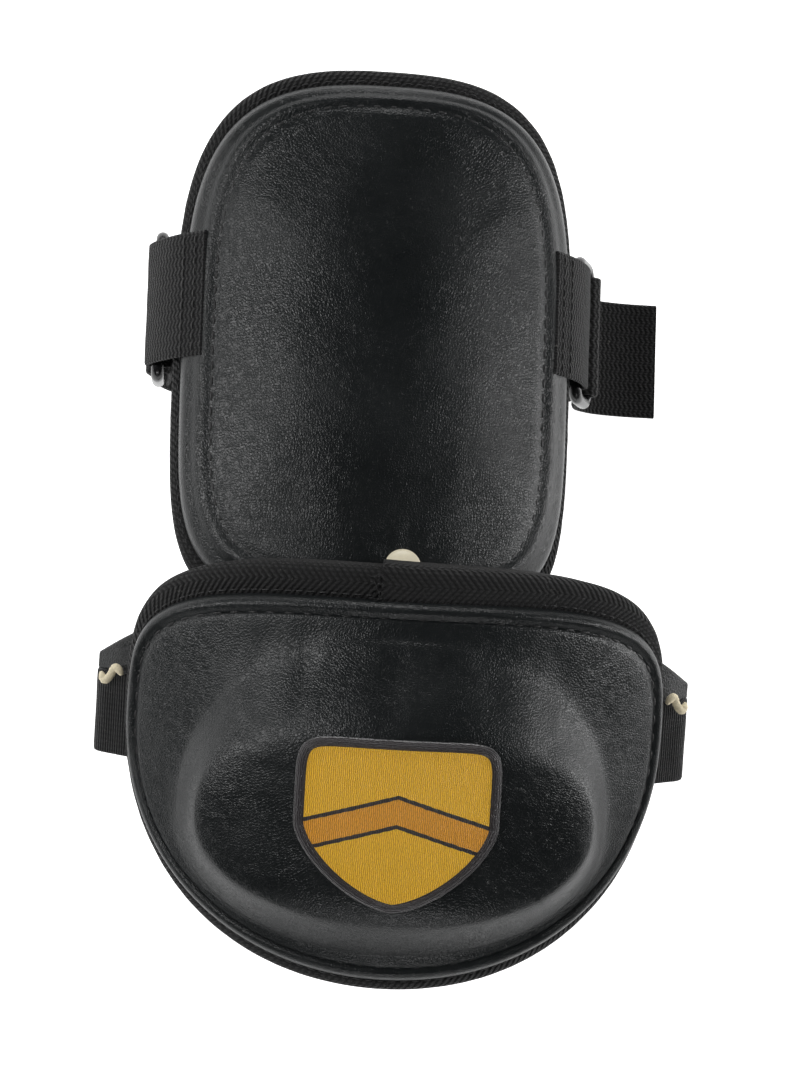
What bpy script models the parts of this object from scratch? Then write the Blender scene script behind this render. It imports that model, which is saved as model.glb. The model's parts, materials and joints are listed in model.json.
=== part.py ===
"""Two-piece arm and elbow guard: an arched arm pad, a domed elbow cup riveted to it, and two straps.

X runs across the guard, +Y towards the pad's far end, +Z out of its front face.
The guard stands on the flat bottoms of its two strap loops, at Z = 0.
"""
import math

import bmesh
import bpy
from mathutils import Matrix, Vector

MM = 0.001
GAP = 0.3 * MM                     # clearance between pieces that touch

# Arm pad: every layer follows a cylinder along Y
ARM_RADIUS = 85 * MM               # inner face of the lining
ARM_APEX_Z = 92 * MM               # height of that face over the floor, on the middle line
ARM_HALF_ARC = 65.5 * MM           # half width of the backing, measured round the arch
ARM_HALF_LENGTH = 81 * MM
ARM_LINER_T = 1.0 * MM
ARM_BACKING_T = 6.0 * MM
ARM_FOAM_T = 3.5 * MM
ARM_PLATE_T = 1.8 * MM
COVER_T = 1.2 * MM
ARM_COVER_INSET = 4.3 * MM         # cover edge to backing edge
ARM_WALL_RUN = 9.5 * MM            # cover edge to its rim crest, round the arch
ARM_WALL_RUN_END = 5.0 * MM        # the same at the two ends
SEAM_INSET = 3.0 * MM              # rim crest to the stitched seam
TOP_SHAPE = 3.2                    # superellipse powers of the pad's two ends
BOTTOM_SHAPE = 4.6

# Elbow cup
CUP_RADIUS = 110 * MM
CUP_HALF_ARC = 87 * MM
CUP_TOP = 46 * MM                  # backing edge above and below the cup's widest line
CUP_BOTTOM = 73.5 * MM
CUP_LINER_T = 1.0 * MM
CUP_BACKING_T = 8.0 * MM
CUP_SHELL_T = 2.0 * MM
CUP_COVER_INSET = 2.5 * MM
CUP_COVER_INSET_TOP = 8.5 * MM
CUP_WALL_RUN = 2.4 * MM            # cover edge to its rim crest
CUP_SEAM_INSET = 2.0 * MM          # rim crest to the stitched seam
DOME_HALF_WIDTH = 52 * MM          # flat top of the dome
DOME_HALF_HEIGHT = 27.5 * MM
DOME_FLANK = 11 * MM               # run of the dome's sloping side
DOME_FLANK_TOP = 23 * MM           # the same towards the cup's top edge
DOME_RISE = 12 * MM
DOME_CENTRE = -23 * MM
CUP_FOLD = math.radians(12.5)      # how far the cup hangs back at rest
CUP_SWIVEL = math.radians(0)
CUP_ROLL = math.radians(-5)      # it also leans to one side on its soft link
CUP_OVERLAP = 10.9 * MM            # how far the cup's top edge lies over the arm pad's backing
CUP_EDGE_CLEAR = 10.1 * MM         # its height over the arm pad's front

# Edge tape
TAPE_T = 1.2 * MM
TAPE_LEG_BACK = 7 * MM
TAPE_GAP = 0.6 * MM                # tape to the cover's edge
TAPE_CLEAR = 0.45 * MM             # tape to the layers that it folds round

# Rivet and link tab
RIVET_FROM_EDGE = 12.5 * MM        # from the backing's lower edge
RIVET_X = 7 * MM                   # from the pad's middle line
RIVET_Y = -ARM_HALF_LENGTH + RIVET_FROM_EDGE
RIVET_CAP_R = 5.5 * MM
RIVET_CAP_T = 2.0 * MM
RIVET_POST_R = 2.0 * MM
TAB_T = 1.6 * MM
LINK_WIDTH = 24 * MM
FOLD_PAST_EDGE = 8.6 * MM          # the fold line, from the pad's lower edge
FOLD_RISE = 6.2 * MM               # and over the link tab's flat run

# Rings, arm strap
STRAP_WIDTH = 38 * MM
STRAP_T = 1.6 * MM
STRAP_Y = 13 * MM
STRAP_FLAT = 25 * MM               # half length of the flat run that the guard stands on
RING_BAR_R = 2.0 * MM
RING_SIDE_GAP = 0.5 * MM           # webbing's edge to a ring's short bar
RING_LENGTH = STRAP_WIDTH + 2 * (RING_BAR_R + RING_SIDE_GAP)  # bar middle to bar middle, along Y
RING_REACH = 16 * MM               # bar middle to bar middle, across
RING_CORNER = 3.5 * MM
RING_X = 65.2 * MM
RING_Z = 66.6 * MM
RING_HANG = math.radians(67)       # right ring, below horizontal
RING_HANG_LEFT = math.radians(95)  # the left ring is drawn in under the pad
WRAP_SLACK = 0.2 * MM              # webbing stands this much off a ring's bar
PATCH_T = 1.2 * MM
PATCH_LENGTH = 15 * MM
TAIL_GAP = 1.2 * MM

# Elastic elbow strap
ELASTIC_WIDTH = 25 * MM
ELASTIC_T = 1.5 * MM
ELASTIC_FLOOR_Y = -108 * MM
GUSSET_WIDTH = 13 * MM
EAR_Y = -4 * MM                    # middle of the elastic, from the cup's widest line
EAR_REACH = 12.5 * MM              # how far it bows out past the cup's edge
TACK_R = 1.3 * MM
TACK_CLEAR = 1.1 * MM

EMBLEM_T = 1.4 * MM
EMBLEM_HALF_WIDTH = 26 * MM
EMBLEM_HALF_HEIGHT = 25 * MM

ARM_REF = ARM_RADIUS + ARM_LINER_T + ARM_BACKING_T
CUP_REF = CUP_RADIUS + CUP_LINER_T + CUP_BACKING_T + GAP
ARM_STACK = ARM_LINER_T + GAP + ARM_BACKING_T
CUP_STACK = CUP_LINER_T + GAP + CUP_BACKING_T

BLACK = (0.018, 0.02, 0.021)
MATERIALS = {
    "leather": (BLACK, 0.42, 0.0),
    "tape": ((0.012, 0.012, 0.013), 0.9, 0.0),
    "foam": ((0.05, 0.05, 0.055), 0.95, 0.0),
    "lining": ((0.02, 0.02, 0.022), 0.9, 0.0),
    "shell": ((0.06, 0.06, 0.065), 0.5, 0.0),
    "ring": ((0.012, 0.012, 0.013), 0.28, 0.0),
    "hook": ((0.015, 0.015, 0.016), 0.95, 0.0),
    "cream": ((0.78, 0.72, 0.56), 0.6, 0.0),
    "thread": ((0.75, 0.44, 0.05), 0.6, 0.0),
}


# ------------------------------------------------------------------ scene helpers

def clear_scene():
    for obj in list(bpy.data.objects):
        bpy.data.objects.remove(obj, do_unlink=True)


def make_collection(name):
    collection = bpy.data.collections.new(name)
    bpy.context.scene.collection.children.link(collection)
    return collection


def make_material(node, finish):
    colour, roughness, metallic = MATERIALS[finish]
    material = bpy.data.materials.new(node)
    material.use_nodes = True
    shader = material.node_tree.nodes["Principled BSDF"]
    shader.inputs["Base Color"].default_value = (*colour, 1)
    shader.inputs["Roughness"].default_value = roughness
    shader.inputs["Metallic"].default_value = metallic
    return material


def add_piece(name, data, finish, parent, location=(0, 0, 0)):
    obj = bpy.data.objects.new(name, data)
    data.materials.append(make_material(name, finish))
    PARTS.objects.link(obj)
    obj.parent = parent
    obj.location = location
    return obj


def add_empty(name, location, parent=None, rotation=(0, 0, 0)):
    empty = bpy.data.objects.new(name, None)
    PARTS.objects.link(empty)
    empty.parent = parent
    empty.location = location
    empty.rotation_euler = rotation
    return empty


def finish_mesh(bm, name, smooth_angle=35):
    bmesh.ops.recalc_face_normals(bm, faces=bm.faces)
    if bm.calc_volume(signed=True) < 0:
        bmesh.ops.reverse_faces(bm, faces=bm.faces)
    mesh = bpy.data.meshes.new(name)
    bm.to_mesh(mesh)
    bm.free()
    mesh.shade_smooth()
    mesh.set_sharp_from_angle(angle=math.radians(smooth_angle))
    return mesh


# ------------------------------------------------------------------ pad outlines and layers

def arm_ring(inset_side, inset_end):
    """An outline: half width, top, bottom, its widest line and the powers of its two halves."""
    return (ARM_HALF_ARC - inset_side, ARM_HALF_LENGTH - inset_end, -ARM_HALF_LENGTH + inset_end,
            0.0, TOP_SHAPE, BOTTOM_SHAPE)


def arm_inner_ring(share):
    side, top, bottom, middle, power_up, power_down = arm_ring(*ARM_SEAM)
    return (side * share, top * share, bottom * share, middle, power_up, power_down - 1.6 * (1 - share))


ARM_EDGE = (0.0, 0.0)
ARM_COVER_EDGE = (ARM_COVER_INSET, ARM_COVER_INSET)
ARM_CREST = (ARM_COVER_INSET + ARM_WALL_RUN, ARM_COVER_INSET + ARM_WALL_RUN_END)
ARM_SEAM = (ARM_CREST[0] + SEAM_INSET, ARM_CREST[1] + SEAM_INSET * 0.7)
ARM_FIELD = [arm_inner_ring(share) for share in (0.25, 0.5, 0.75)] + [arm_ring(*ARM_SEAM)]
ARM_COVER_RINGS = ARM_FIELD + [arm_ring(*ARM_CREST), arm_ring(*ARM_COVER_EDGE)]
ARM_PAD_RINGS = ARM_FIELD + [arm_ring(*ARM_COVER_EDGE), arm_ring(*ARM_EDGE)]


def cup_ring(inset_side, inset_top, power_up=3.6, middle=0.0):
    return (CUP_HALF_ARC - inset_side, CUP_TOP - inset_top, -CUP_BOTTOM + inset_side, middle,
            power_up, 2.05)


def dome_ring(grow, share=1.0, grow_top=None):
    half_height = DOME_HALF_HEIGHT * share
    above = grow if grow_top is None else grow_top
    return (DOME_HALF_WIDTH * share + grow, DOME_CENTRE + half_height + above,
            DOME_CENTRE - half_height - grow, DOME_CENTRE, 2.2, 2.2)


CUP_CREST = (CUP_COVER_INSET + CUP_WALL_RUN, CUP_COVER_INSET_TOP + CUP_WALL_RUN)
CUP_SEAM = (CUP_CREST[0] + CUP_SEAM_INSET, CUP_CREST[1] + CUP_SEAM_INSET + 1 * MM)
CUP_DOME = [dome_ring(0, 0.34), dome_ring(0, 0.67), dome_ring(0)]
CUP_SHELL_RINGS = CUP_DOME + [
    dome_ring(DOME_FLANK, 1.0, DOME_FLANK_TOP),
    cup_ring(*CUP_SEAM),
]
CUP_COVER_RINGS = CUP_SHELL_RINGS + [
    cup_ring(*CUP_CREST),
    cup_ring(CUP_COVER_INSET, CUP_COVER_INSET_TOP),
]
CUP_PAD_RINGS = CUP_SHELL_RINGS + [cup_ring(CUP_COVER_INSET, CUP_COVER_INSET_TOP), cup_ring(0, 0)]


def on_outline(ring, u, v):
    """A point of a rounded outline, for a direction (u, v) on the edge of the unit square."""
    side, top, bottom, middle, power_up, power_down = ring
    power = power_up if v > 0 else power_down
    reach = top - middle if v > 0 else middle - bottom
    scale = (abs(u) ** power + abs(v) ** power) ** (-1 / power)
    return side * u * scale, middle + reach * v * scale


def on_arm(arc, y, depth):
    angle = arc / ARM_REF
    radius = ARM_RADIUS + depth
    return Vector((radius * math.sin(angle), y, ARM_APEX_Z - ARM_RADIUS + radius * math.cos(angle)))


def on_cup(arc, y, depth):
    angle = arc / CUP_REF
    radius = CUP_RADIUS + depth
    return Vector((radius * math.sin(angle), y, -CUP_RADIUS + radius * math.cos(angle)))


def layer(name, rings, place, bottom, top):
    """A closed pad layer: a square grid pulled to round rings, then extruded to its second face.

    bottom and top give the depth of each face, ring by ring from the middle out."""
    count = len(rings)
    bm = bmesh.new()
    bmesh.ops.create_grid(bm, x_segments=2 * count, y_segments=2 * count, size=count)
    low_verts = list(bm.verts)
    steps = [(round(v.co.x), round(v.co.y)) for v in low_verts]
    made = bmesh.ops.extrude_face_region(bm, geom=list(bm.faces), use_keep_orig=True)
    high_verts = [g for g in made["geom"] if isinstance(g, bmesh.types.BMVert)]
    bm.verts.ensure_lookup_table()
    by_step = {(round(v.co.x), round(v.co.y)): v for v in high_verts}
    centre_y = rings[0][3]
    for vert, step in zip(low_verts, steps):
        ring = max(abs(step[0]), abs(step[1]))
        if ring:
            flat = on_outline(rings[ring - 1], step[0] / ring, step[1] / ring)
        else:
            flat = (0.0, centre_y)
        vert.co = place(*flat, bottom[max(ring, 1) - 1])
        by_step[step].co = place(*flat, top[max(ring, 1) - 1])
    return finish_mesh(bm, name)


def edge_tape(name, edge, cover_edge, count, place, stack):
    """Woven tape folded round a pad's edge: a U section swept round the outline."""
    bm = bmesh.new()
    sections = []
    for u, v in square_walk(count):
        here = Vector(on_outline(edge, u, v))
        inward = Vector(on_outline(cover_edge, u, v)) - here
        run = inward.length
        inward.normalize()
        front = run - TAPE_GAP
        near, far, out = -TAPE_CLEAR, stack + TAPE_CLEAR, TAPE_CLEAR + TAPE_T
        corner = 0.3 * TAPE_T
        section = [
            (front, far), (near, far), (near, near), (TAPE_LEG_BACK, near), (TAPE_LEG_BACK, -out),
            (near - corner, -out), (-out, near - corner), (-out, far + corner),
            (near - corner, far + TAPE_T), (front, far + TAPE_T),
        ]
        verts = []
        for reach, depth in section:
            flat = here + inward * reach
            verts.append(bm.verts.new(place(flat.x, flat.y, depth)))
        sections.append(verts)
    for first, second in zip(sections, sections[1:] + sections[:1]):
        for i in range(len(first)):
            j = (i + 1) % len(first)
            bm.faces.new((first[i], first[j], second[j], second[i]))
    return finish_mesh(bm, name)


def square_walk(count):
    """Directions on the unit square's edge, at the outer points of a grid of that many rings."""
    walk = []
    for step in range(-count, count):
        walk.append((step / count, -1.0))
    for step in range(-count, count):
        walk.append((1.0, step / count))
    for step in range(-count, count):
        walk.append((-step / count, 1.0))
    for step in range(-count, count):
        walk.append((-1.0, -step / count))
    return walk


# ------------------------------------------------------------------ strips, tubes, turned pieces

def smooth_path(points, per_span):
    """A Catmull-Rom curve through the points, as a list of points."""
    points = [Vector(p) for p in points]
    ends = [2 * points[0] - points[1]] + points + [2 * points[-1] - points[-2]]
    path = []
    for i in range(1, len(ends) - 2):
        a, b, c, d = ends[i - 1:i + 3]
        for step in range(per_span):
            t = step / per_span
            path.append(0.5 * (2 * b + (c - a) * t + (2 * a - 5 * b + 4 * c - d) * t * t
                               + (3 * b - a - 3 * c + d) * t ** 3))
    path.append(points[-1])
    return path


def add_ribbon(name, path, width, finish, parent, thickness, across=(0, 1, 0), origin=(0, 0, 0)):
    """A strip along a path; across gives its width direction, once or at each point."""
    directions = across if isinstance(across, list) else [across] * len(path)
    widths = width if isinstance(width, list) else [width] * len(path)
    bm = bmesh.new()
    rows = []
    for point, wide, direction in zip(path, widths, directions):
        half = Vector(direction).normalized() * wide / 2
        middle = point - Vector(origin)
        rows.append((bm.verts.new(middle - half), bm.verts.new(middle + half)))
    for (a, b), (c, d) in zip(rows, rows[1:]):
        bm.faces.new((a, b, d, c))
    mesh = bpy.data.meshes.new(name)
    bm.to_mesh(mesh)
    bm.free()
    mesh.shade_smooth()
    obj = add_piece(name, mesh, finish, parent, origin)
    solid = obj.modifiers.new("thickness", "SOLIDIFY")
    solid.thickness = thickness
    solid.offset = 0
    solid.use_even_offset = True
    return obj


def add_tube(name, points, radius, finish, parent, closed=False, origin=(0, 0, 0), rotation=(0, 0, 0)):
    data = bpy.data.curves.new(name, "CURVE")
    data.dimensions = "3D"
    data.bevel_depth = radius
    data.bevel_resolution = 2
    data.use_fill_caps = not closed
    spline = data.splines.new("POLY")
    spline.points.add(len(points) - 1)
    for spot, point in zip(spline.points, points):
        spot.co = (*point, 1)
    spline.use_cyclic_u = closed
    obj = add_piece(name, data, finish, parent, origin)
    obj.rotation_euler = rotation
    return obj


def rounded_loop(length, reach, corner, per_corner=4):
    """A rounded rectangle in the XY plane, its near long bar on the Y axis."""
    points = []
    centres = [(reach - corner, length / 2 - corner, 0), (corner, length / 2 - corner, 90),
               (corner, -length / 2 + corner, 180), (reach - corner, -length / 2 + corner, 270)]
    for x, y, start in centres:
        for step in range(per_corner + 1):
            angle = math.radians(start + 90 * step / per_corner)
            points.append((x + corner * math.cos(angle), y + corner * math.sin(angle), 0))
    return points


def turned(name, profile, segments, finish, parent, location):
    """A solid of revolution about Z; the profile runs top to bottom at +X."""
    bm = bmesh.new()
    verts = [bm.verts.new((x, 0, z)) for x, z in profile]
    for a, b in zip(verts, verts[1:]):
        bm.edges.new((a, b))
    mesh = bpy.data.meshes.new(name)
    bm.to_mesh(mesh)
    bm.free()
    obj = add_piece(name, mesh, finish, parent, location)
    screw = obj.modifiers.new("turn", "SCREW")
    screw.steps = segments
    screw.render_steps = segments
    screw.use_merge_vertices = True
    screw.merge_threshold = 0.00005
    screw.use_smooth_shade = True
    return obj


def drill(obj, cutter):
    cut = obj.modifiers.new("rivet_hole", "BOOLEAN")
    cut.object = cutter
    cut.operation = "DIFFERENCE"
    cut.solver = "EXACT"


# ------------------------------------------------------------------ the arm pad

def arm_depths():
    """Depths of the arm pad's faces, from the lining's inner face out."""
    foam = ARM_STACK + GAP
    plate = foam + ARM_FOAM_T + GAP
    cover = plate + ARM_PLATE_T + GAP
    return foam, plate, cover


def build_arm_pad(frame):
    foam, plate, cover = arm_depths()
    pad = ARM_PAD_RINGS
    field = ARM_FIELD
    liner = add_piece("arm_liner", layer("arm_liner", pad, on_arm, [0] * 6, [ARM_LINER_T] * 6),
                      "lining", frame)
    low = ARM_LINER_T + GAP
    backing = add_piece("arm_backing", layer("arm_backing", pad, on_arm, [low] * 6, [ARM_STACK] * 6),
                        "foam", frame)
    core = add_piece("arm_front_foam", layer("arm_front_foam", field, on_arm, [foam] * 4,
                                      [foam + ARM_FOAM_T] * 4), "foam", frame)
    plate_piece = add_piece("arm_plate", layer("arm_plate", field, on_arm, [plate] * 4, [plate + ARM_PLATE_T] * 4),
              "shell", frame)
    under = [cover] * 4 + [cover - 0.5 * MM, foam]
    outer = [cover + COVER_T] * 4 + [cover + COVER_T, foam + COVER_T]
    skin = add_piece("arm_cover", layer("arm_cover", ARM_COVER_RINGS, on_arm, under, outer),
                     "leather", frame)
    add_piece("arm_edge_tape", edge_tape("arm_edge_tape", pad[-1], pad[-2], len(pad), on_arm,
                                                ARM_STACK), "tape", frame)
    return liner, backing, core, plate_piece, skin


def build_rivet(frame, drilled):
    cover_top = arm_depths()[2] + COVER_T
    cap_z = ARM_APEX_Z + cover_top + GAP
    link_z = link_height()
    back_z = link_z - TAB_T / 2 - GAP
    r, t, post = RIVET_CAP_R, RIVET_CAP_T, RIVET_POST_R
    profile = [(0, cap_z + t), (0.6 * r, cap_z + 0.85 * t), (0.93 * r, cap_z + 0.5 * t), (r, cap_z),
               (post, cap_z), (post, back_z), (0, back_z)]
    turned("rivet", profile, 20, "cream", frame, (RIVET_X, RIVET_Y, 0))
    washer = [(0, back_z - GAP), (0.8 * r, back_z - GAP), (0.8 * r, back_z - GAP - 0.8 * MM),
              (0, back_z - GAP - 1.2 * MM)]
    turned("rivet_back", washer, 16, "ring", frame, (RIVET_X, RIVET_Y, 0))
    bpy.ops.mesh.primitive_cylinder_add(vertices=16, radius=post + GAP, depth=60 * MM,
                                        location=(RIVET_X, RIVET_Y, ARM_APEX_Z))
    cutter = bpy.context.object
    cutter.name = "rivet_cutter"
    cutter.parent = frame
    cutter.hide_render = True
    cutter.display_type = "WIRE"
    for collection in list(cutter.users_collection):
        collection.objects.unlink(cutter)
    CUTTERS.objects.link(cutter)
    for obj in drilled:
        drill(obj, cutter)


# ------------------------------------------------------------------ side tabs, rings and arm strap

def ring_hang(side):
    return RING_HANG if side > 0 else RING_HANG_LEFT


def ring_end(side):
    """The strap's bar of a ring, in the XZ plane."""
    hang = ring_hang(side)
    return Vector((side * (RING_X + RING_REACH * math.cos(hang)), STRAP_Y,
                   RING_Z - RING_REACH * math.sin(hang)))


def side_tab_path(side):
    """From the rim of the cover, over the pad's edge, round the ring and back under the lining."""
    turn = RING_BAR_R + GAP + WRAP_SLACK + TAB_T / 2
    over = arm_depths()[2] + COVER_T + GAP + TAB_T / 2
    rim_arc = ARM_HALF_ARC - ARM_CREST[0]
    edge = on_arm(ARM_HALF_ARC - ARM_COVER_INSET + 0.5 * MM, 0, ARM_STACK + 5.6 * MM)
    lip = on_arm(ARM_HALF_ARC + 4.4 * MM, 0, ARM_STACK + 2.6 * MM)
    inner = on_arm(ARM_HALF_ARC + 0.6 * MM, 0, -GAP - TAPE_CLEAR - TAPE_T - TAB_T * 0.5)
    end = on_arm(ARM_HALF_ARC - 12 * MM, 0, -GAP - TAPE_CLEAR - TAPE_T - TAB_T * 0.5)
    rim = on_arm(rim_arc, 0, over)
    points = [(rim.x, rim.z), (edge.x, edge.z), (lip.x, lip.z)]
    for degrees in (20, -30, -80, -130):
        angle = math.radians(degrees)
        points.append((RING_X + turn * math.cos(angle), RING_Z + turn * math.sin(angle)))
    points += [(inner.x, inner.z), (end.x, end.z)]
    return smooth_path([(side * x, STRAP_Y, z) for x, z in points], 3)


def build_side(frame, side, word):
    add_ribbon(word + "_tab", side_tab_path(side), STRAP_WIDTH, "tape", frame, TAB_T)
    loop = rounded_loop(RING_LENGTH, RING_REACH, RING_CORNER)
    hang = ring_hang(side) if side > 0 else math.pi - ring_hang(side)
    add_tube(word + "_ring", loop, RING_BAR_R, "ring", frame, True,
             (side * RING_X, STRAP_Y, RING_Z), (0, hang, 0))


def roll(centre, side, start, stop, steps):
    """Points of the strap's turn round a ring bar, angles in degrees from the outward side."""
    turn = RING_BAR_R + GAP + WRAP_SLACK + STRAP_T / 2
    points = []
    for step in range(steps + 1):
        angle = math.radians(start + (stop - start) * step / steps)
        points.append((centre.x + side * turn * math.cos(angle), STRAP_Y,
                       centre.z + turn * math.sin(angle)))
    return points


def strap_stack():
    """Distances from the ring's strap bar: main run, two patches, outer run, seen from outside in."""
    turn = RING_BAR_R + GAP + WRAP_SLACK + STRAP_T / 2
    outer = turn - 2.2 * MM
    hook = outer - STRAP_T / 2 - GAP - PATCH_T / 2
    loop = hook - PATCH_T - GAP
    main = loop - PATCH_T / 2 - GAP - STRAP_T / 2
    return outer, hook, loop, main


def build_arm_strap(frame):
    left, right = ring_end(-1), ring_end(1)
    outer, hook, loop, main = strap_stack()
    patch_top = right.z - 8 * MM
    patch_low = patch_top - PATCH_LENGTH
    floor = STRAP_T / 2
    points = [(left.x + 4.1 * MM, STRAP_Y, left.z - 22 * MM), (left.x + 4 * MM, STRAP_Y, left.z - 10 * MM)]
    points += roll(left, -1, 180, 0, 4)
    points += [
        (left.x - 0.6 * MM, STRAP_Y, left.z - 10 * MM),
        (left.x + 1.2 * MM, STRAP_Y, left.z - 22 * MM),
        (left.x + 8 * MM, STRAP_Y, 14 * MM), (left.x + 22 * MM, STRAP_Y, 3.2 * MM),
        (-STRAP_FLAT, STRAP_Y, floor), (0, STRAP_Y, floor), (STRAP_FLAT, STRAP_Y, floor),
        (right.x - 24 * MM, STRAP_Y, 3.2 * MM), (right.x - 9 * MM, STRAP_Y, 13 * MM),
        (right.x + main, STRAP_Y, patch_low), (right.x + main, STRAP_Y, patch_top),
    ]
    points += roll(right, 1, 180, 0, 4)
    points += [(right.x + outer, STRAP_Y, patch_top), (right.x + outer, STRAP_Y, patch_low)]
    path = smooth_path(points, 2)
    for point in path:
        point.z = max(point.z, floor)
    add_ribbon("arm_strap", path, STRAP_WIDTH, "tape", frame, STRAP_T)
    for name, x in (("loop_patch", loop), ("hook_patch", hook)):
        line = [Vector((right.x + x, STRAP_Y, z)) for z in (patch_top - 1 * MM, patch_low + 1 * MM)]
        add_ribbon(name, line, STRAP_WIDTH - 3 * MM, "hook", frame, PATCH_T)
    build_tail(frame, Vector((right.x + outer, STRAP_Y, patch_low - TAIL_GAP / 2)))


def build_tail(frame, hinge):
    """The strap's free end, which flares out below the closure."""
    start = hinge - Vector((0, 0, TAIL_GAP / 2))
    points = [start, start + Vector((2.2 * MM, 0, -6 * MM)), start + Vector((9 * MM, 0, -12 * MM)),
              start + Vector((19 * MM, 0, -15 * MM)), start + Vector((30 * MM, 0, -15.5 * MM))]
    add_ribbon("strap_tail", smooth_path(points, 2), STRAP_WIDTH, "tape", frame, STRAP_T,
               origin=hinge)


# ------------------------------------------------------------------ link tab, swivel and fold

def link_height():
    """Middle of the link tab where it lies under the arm pad's lining and edge tape."""
    sag = ARM_RADIUS - math.sqrt(ARM_RADIUS ** 2 - (LINK_WIDTH / 2 + RIVET_X) ** 2)
    return ARM_APEX_Z - sag - TAPE_CLEAR - GAP - TAPE_T - TAB_T / 2


def cup_origin():
    """The cup's own origin: its lining's apex on its widest line, before it swivels."""
    edge_z = ARM_APEX_Z + arm_depths()[2] + COVER_T + CUP_EDGE_CLEAR
    edge_y = -ARM_HALF_LENGTH + CUP_OVERLAP
    return Vector((RIVET_X, edge_y - CUP_TOP * math.cos(CUP_FOLD), edge_z - CUP_TOP * math.sin(CUP_FOLD)))


def cup_turn():
    """The cup's lie at rest: folded back, and leaning to one side."""
    return Matrix.Rotation(CUP_FOLD, 3, "X") @ Matrix.Rotation(CUP_ROLL, 3, "Y")


def fold_line():
    """The fold lies just past the arm pad's lower edge."""
    return Vector((RIVET_X, -ARM_HALF_LENGTH - FOLD_PAST_EDGE, link_height() + FOLD_RISE))


def under_cup(along, slack=0.3 * MM):
    """A point of the link tab that lies on the cup's lining, at a distance below its top edge."""
    sag = CUP_RADIUS - math.sqrt(CUP_RADIUS ** 2 - (LINK_WIDTH / 2) ** 2)
    local = Vector((0, CUP_TOP - along, -sag - GAP - slack - TAB_T / 2))
    return cup_origin() + cup_turn() @ local


def build_link(swivel, cutter_name):
    level = link_height()
    edge = -ARM_HALF_LENGTH
    x = RIVET_X
    points = [(x, RIVET_Y + 12 * MM, level), (x, RIVET_Y, level), (x, edge - 1 * MM, level),
              (x, edge - 6.5 * MM, level + 2.4 * MM), (x, edge - 9.5 * MM, level + 7.5 * MM),
              under_cup(29 * MM, 1.6 * MM), under_cup(37 * MM), under_cup(55 * MM)]
    path = smooth_path(points, 2)
    lean = cup_turn() @ Vector((1, 0, 0))
    across = []
    for point in path:
        share = min(max((edge - 2 * MM - point.y) / (12 * MM), 0), 1)
        across.append(Vector((1, 0, 0)).lerp(lean, share))
    path = [p - Vector((RIVET_X, RIVET_Y, 0)) for p in path]
    link = add_ribbon("link_tab", path, LINK_WIDTH, "leather", swivel, TAB_T, across=across)
    drill(link, bpy.data.objects[cutter_name])


# ------------------------------------------------------------------ the elbow cup

def build_cup(fold):
    place = Matrix.Rotation(-CUP_FOLD, 3, "X") @ (cup_origin() - fold_line())
    fold = add_empty("cup_lean", place, fold, (0, CUP_ROLL, 0))
    shell = CUP_STACK + GAP
    cover = shell + CUP_SHELL_T + GAP
    add_piece("cup_liner", layer("cup_liner", CUP_PAD_RINGS, on_cup, [0] * 7, [CUP_LINER_T] * 7),
              "lining", fold)
    low = CUP_LINER_T + GAP
    add_piece("cup_backing", layer("cup_backing", CUP_PAD_RINGS, on_cup, [low] * 7, [CUP_STACK] * 7),
              "foam", fold)
    add_piece("cup_dome_foam", layer("cup_dome_foam", CUP_DOME, on_cup, [shell] * 3,
                                     [shell + DOME_RISE - GAP] * 3), "foam", fold)
    rise = [DOME_RISE] * 3 + [0, 0]
    under = [shell + r for r in rise]
    add_piece("cup_shell", layer("cup_shell", CUP_SHELL_RINGS, on_cup, under,
                                 [d + CUP_SHELL_T for d in under]), "shell", fold)
    skin_under = [cover + r for r in rise] + [cover - 0.4 * MM, shell]
    skin_outer = [cover + COVER_T + r for r in rise] + [cover + COVER_T + 0.8 * MM, shell + COVER_T]
    add_piece("cup_cover", layer("cup_cover", CUP_COVER_RINGS, on_cup, skin_under, skin_outer),
              "leather", fold)
    add_piece("cup_edge_tape", edge_tape("cup_edge_tape", CUP_PAD_RINGS[-1], CUP_PAD_RINGS[-2],
                                         len(CUP_PAD_RINGS), on_cup, CUP_STACK), "tape", fold)
    face = cover + COVER_T + DOME_RISE + 2 * GAP
    emblem = [emblem_ring(share) for share in (0.5, 1.0)]
    add_piece("emblem", layer("emblem", emblem, on_cup, [face] * 2, [face + EMBLEM_T] * 2),
              "thread", fold)


def emblem_ring(share):
    """A plain shield outline: square-shouldered above, coming to a soft point below."""
    return (EMBLEM_HALF_WIDTH * share, DOME_CENTRE + EMBLEM_HALF_HEIGHT * share,
            DOME_CENTRE - EMBLEM_HALF_HEIGHT * share, DOME_CENTRE, 9.0, 1.5)


def ear_points(side, along):
    """The elastic's way out of the cup's side seam, in the guard's frame."""
    angle = CUP_HALF_ARC / CUP_REF
    outward = Vector((math.cos(angle), 0, -math.sin(angle)))
    seam = on_cup(CUP_HALF_ARC, along, CUP_STACK * 0.55)
    local = [seam + outward * 2.6 * MM, seam + outward * 0.7 * EAR_REACH + Vector((0, 0, 0.8 * MM)),
             seam + Vector((EAR_REACH, 0, -11 * MM)), seam + Vector((0.85 * EAR_REACH, 0, -22 * MM))]
    turn = cup_turn()
    swivel = Matrix.Rotation(CUP_SWIVEL, 3, "Z")
    placed = []
    for point in local:
        world = cup_origin() + turn @ Vector((side * point.x, point.y, point.z))
        pivot = Vector((RIVET_X, RIVET_Y, 0))
        placed.append(pivot + swivel @ (world - pivot))
    return placed, swivel @ turn @ Vector((0, 1, 0))


def keep_place(obj, parent):
    """Parents a piece that was made in the guard's frame, without moving it."""
    bpy.context.view_layer.update()
    obj.parent = parent
    obj.matrix_parent_inverse = parent.matrix_world.inverted()


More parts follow.
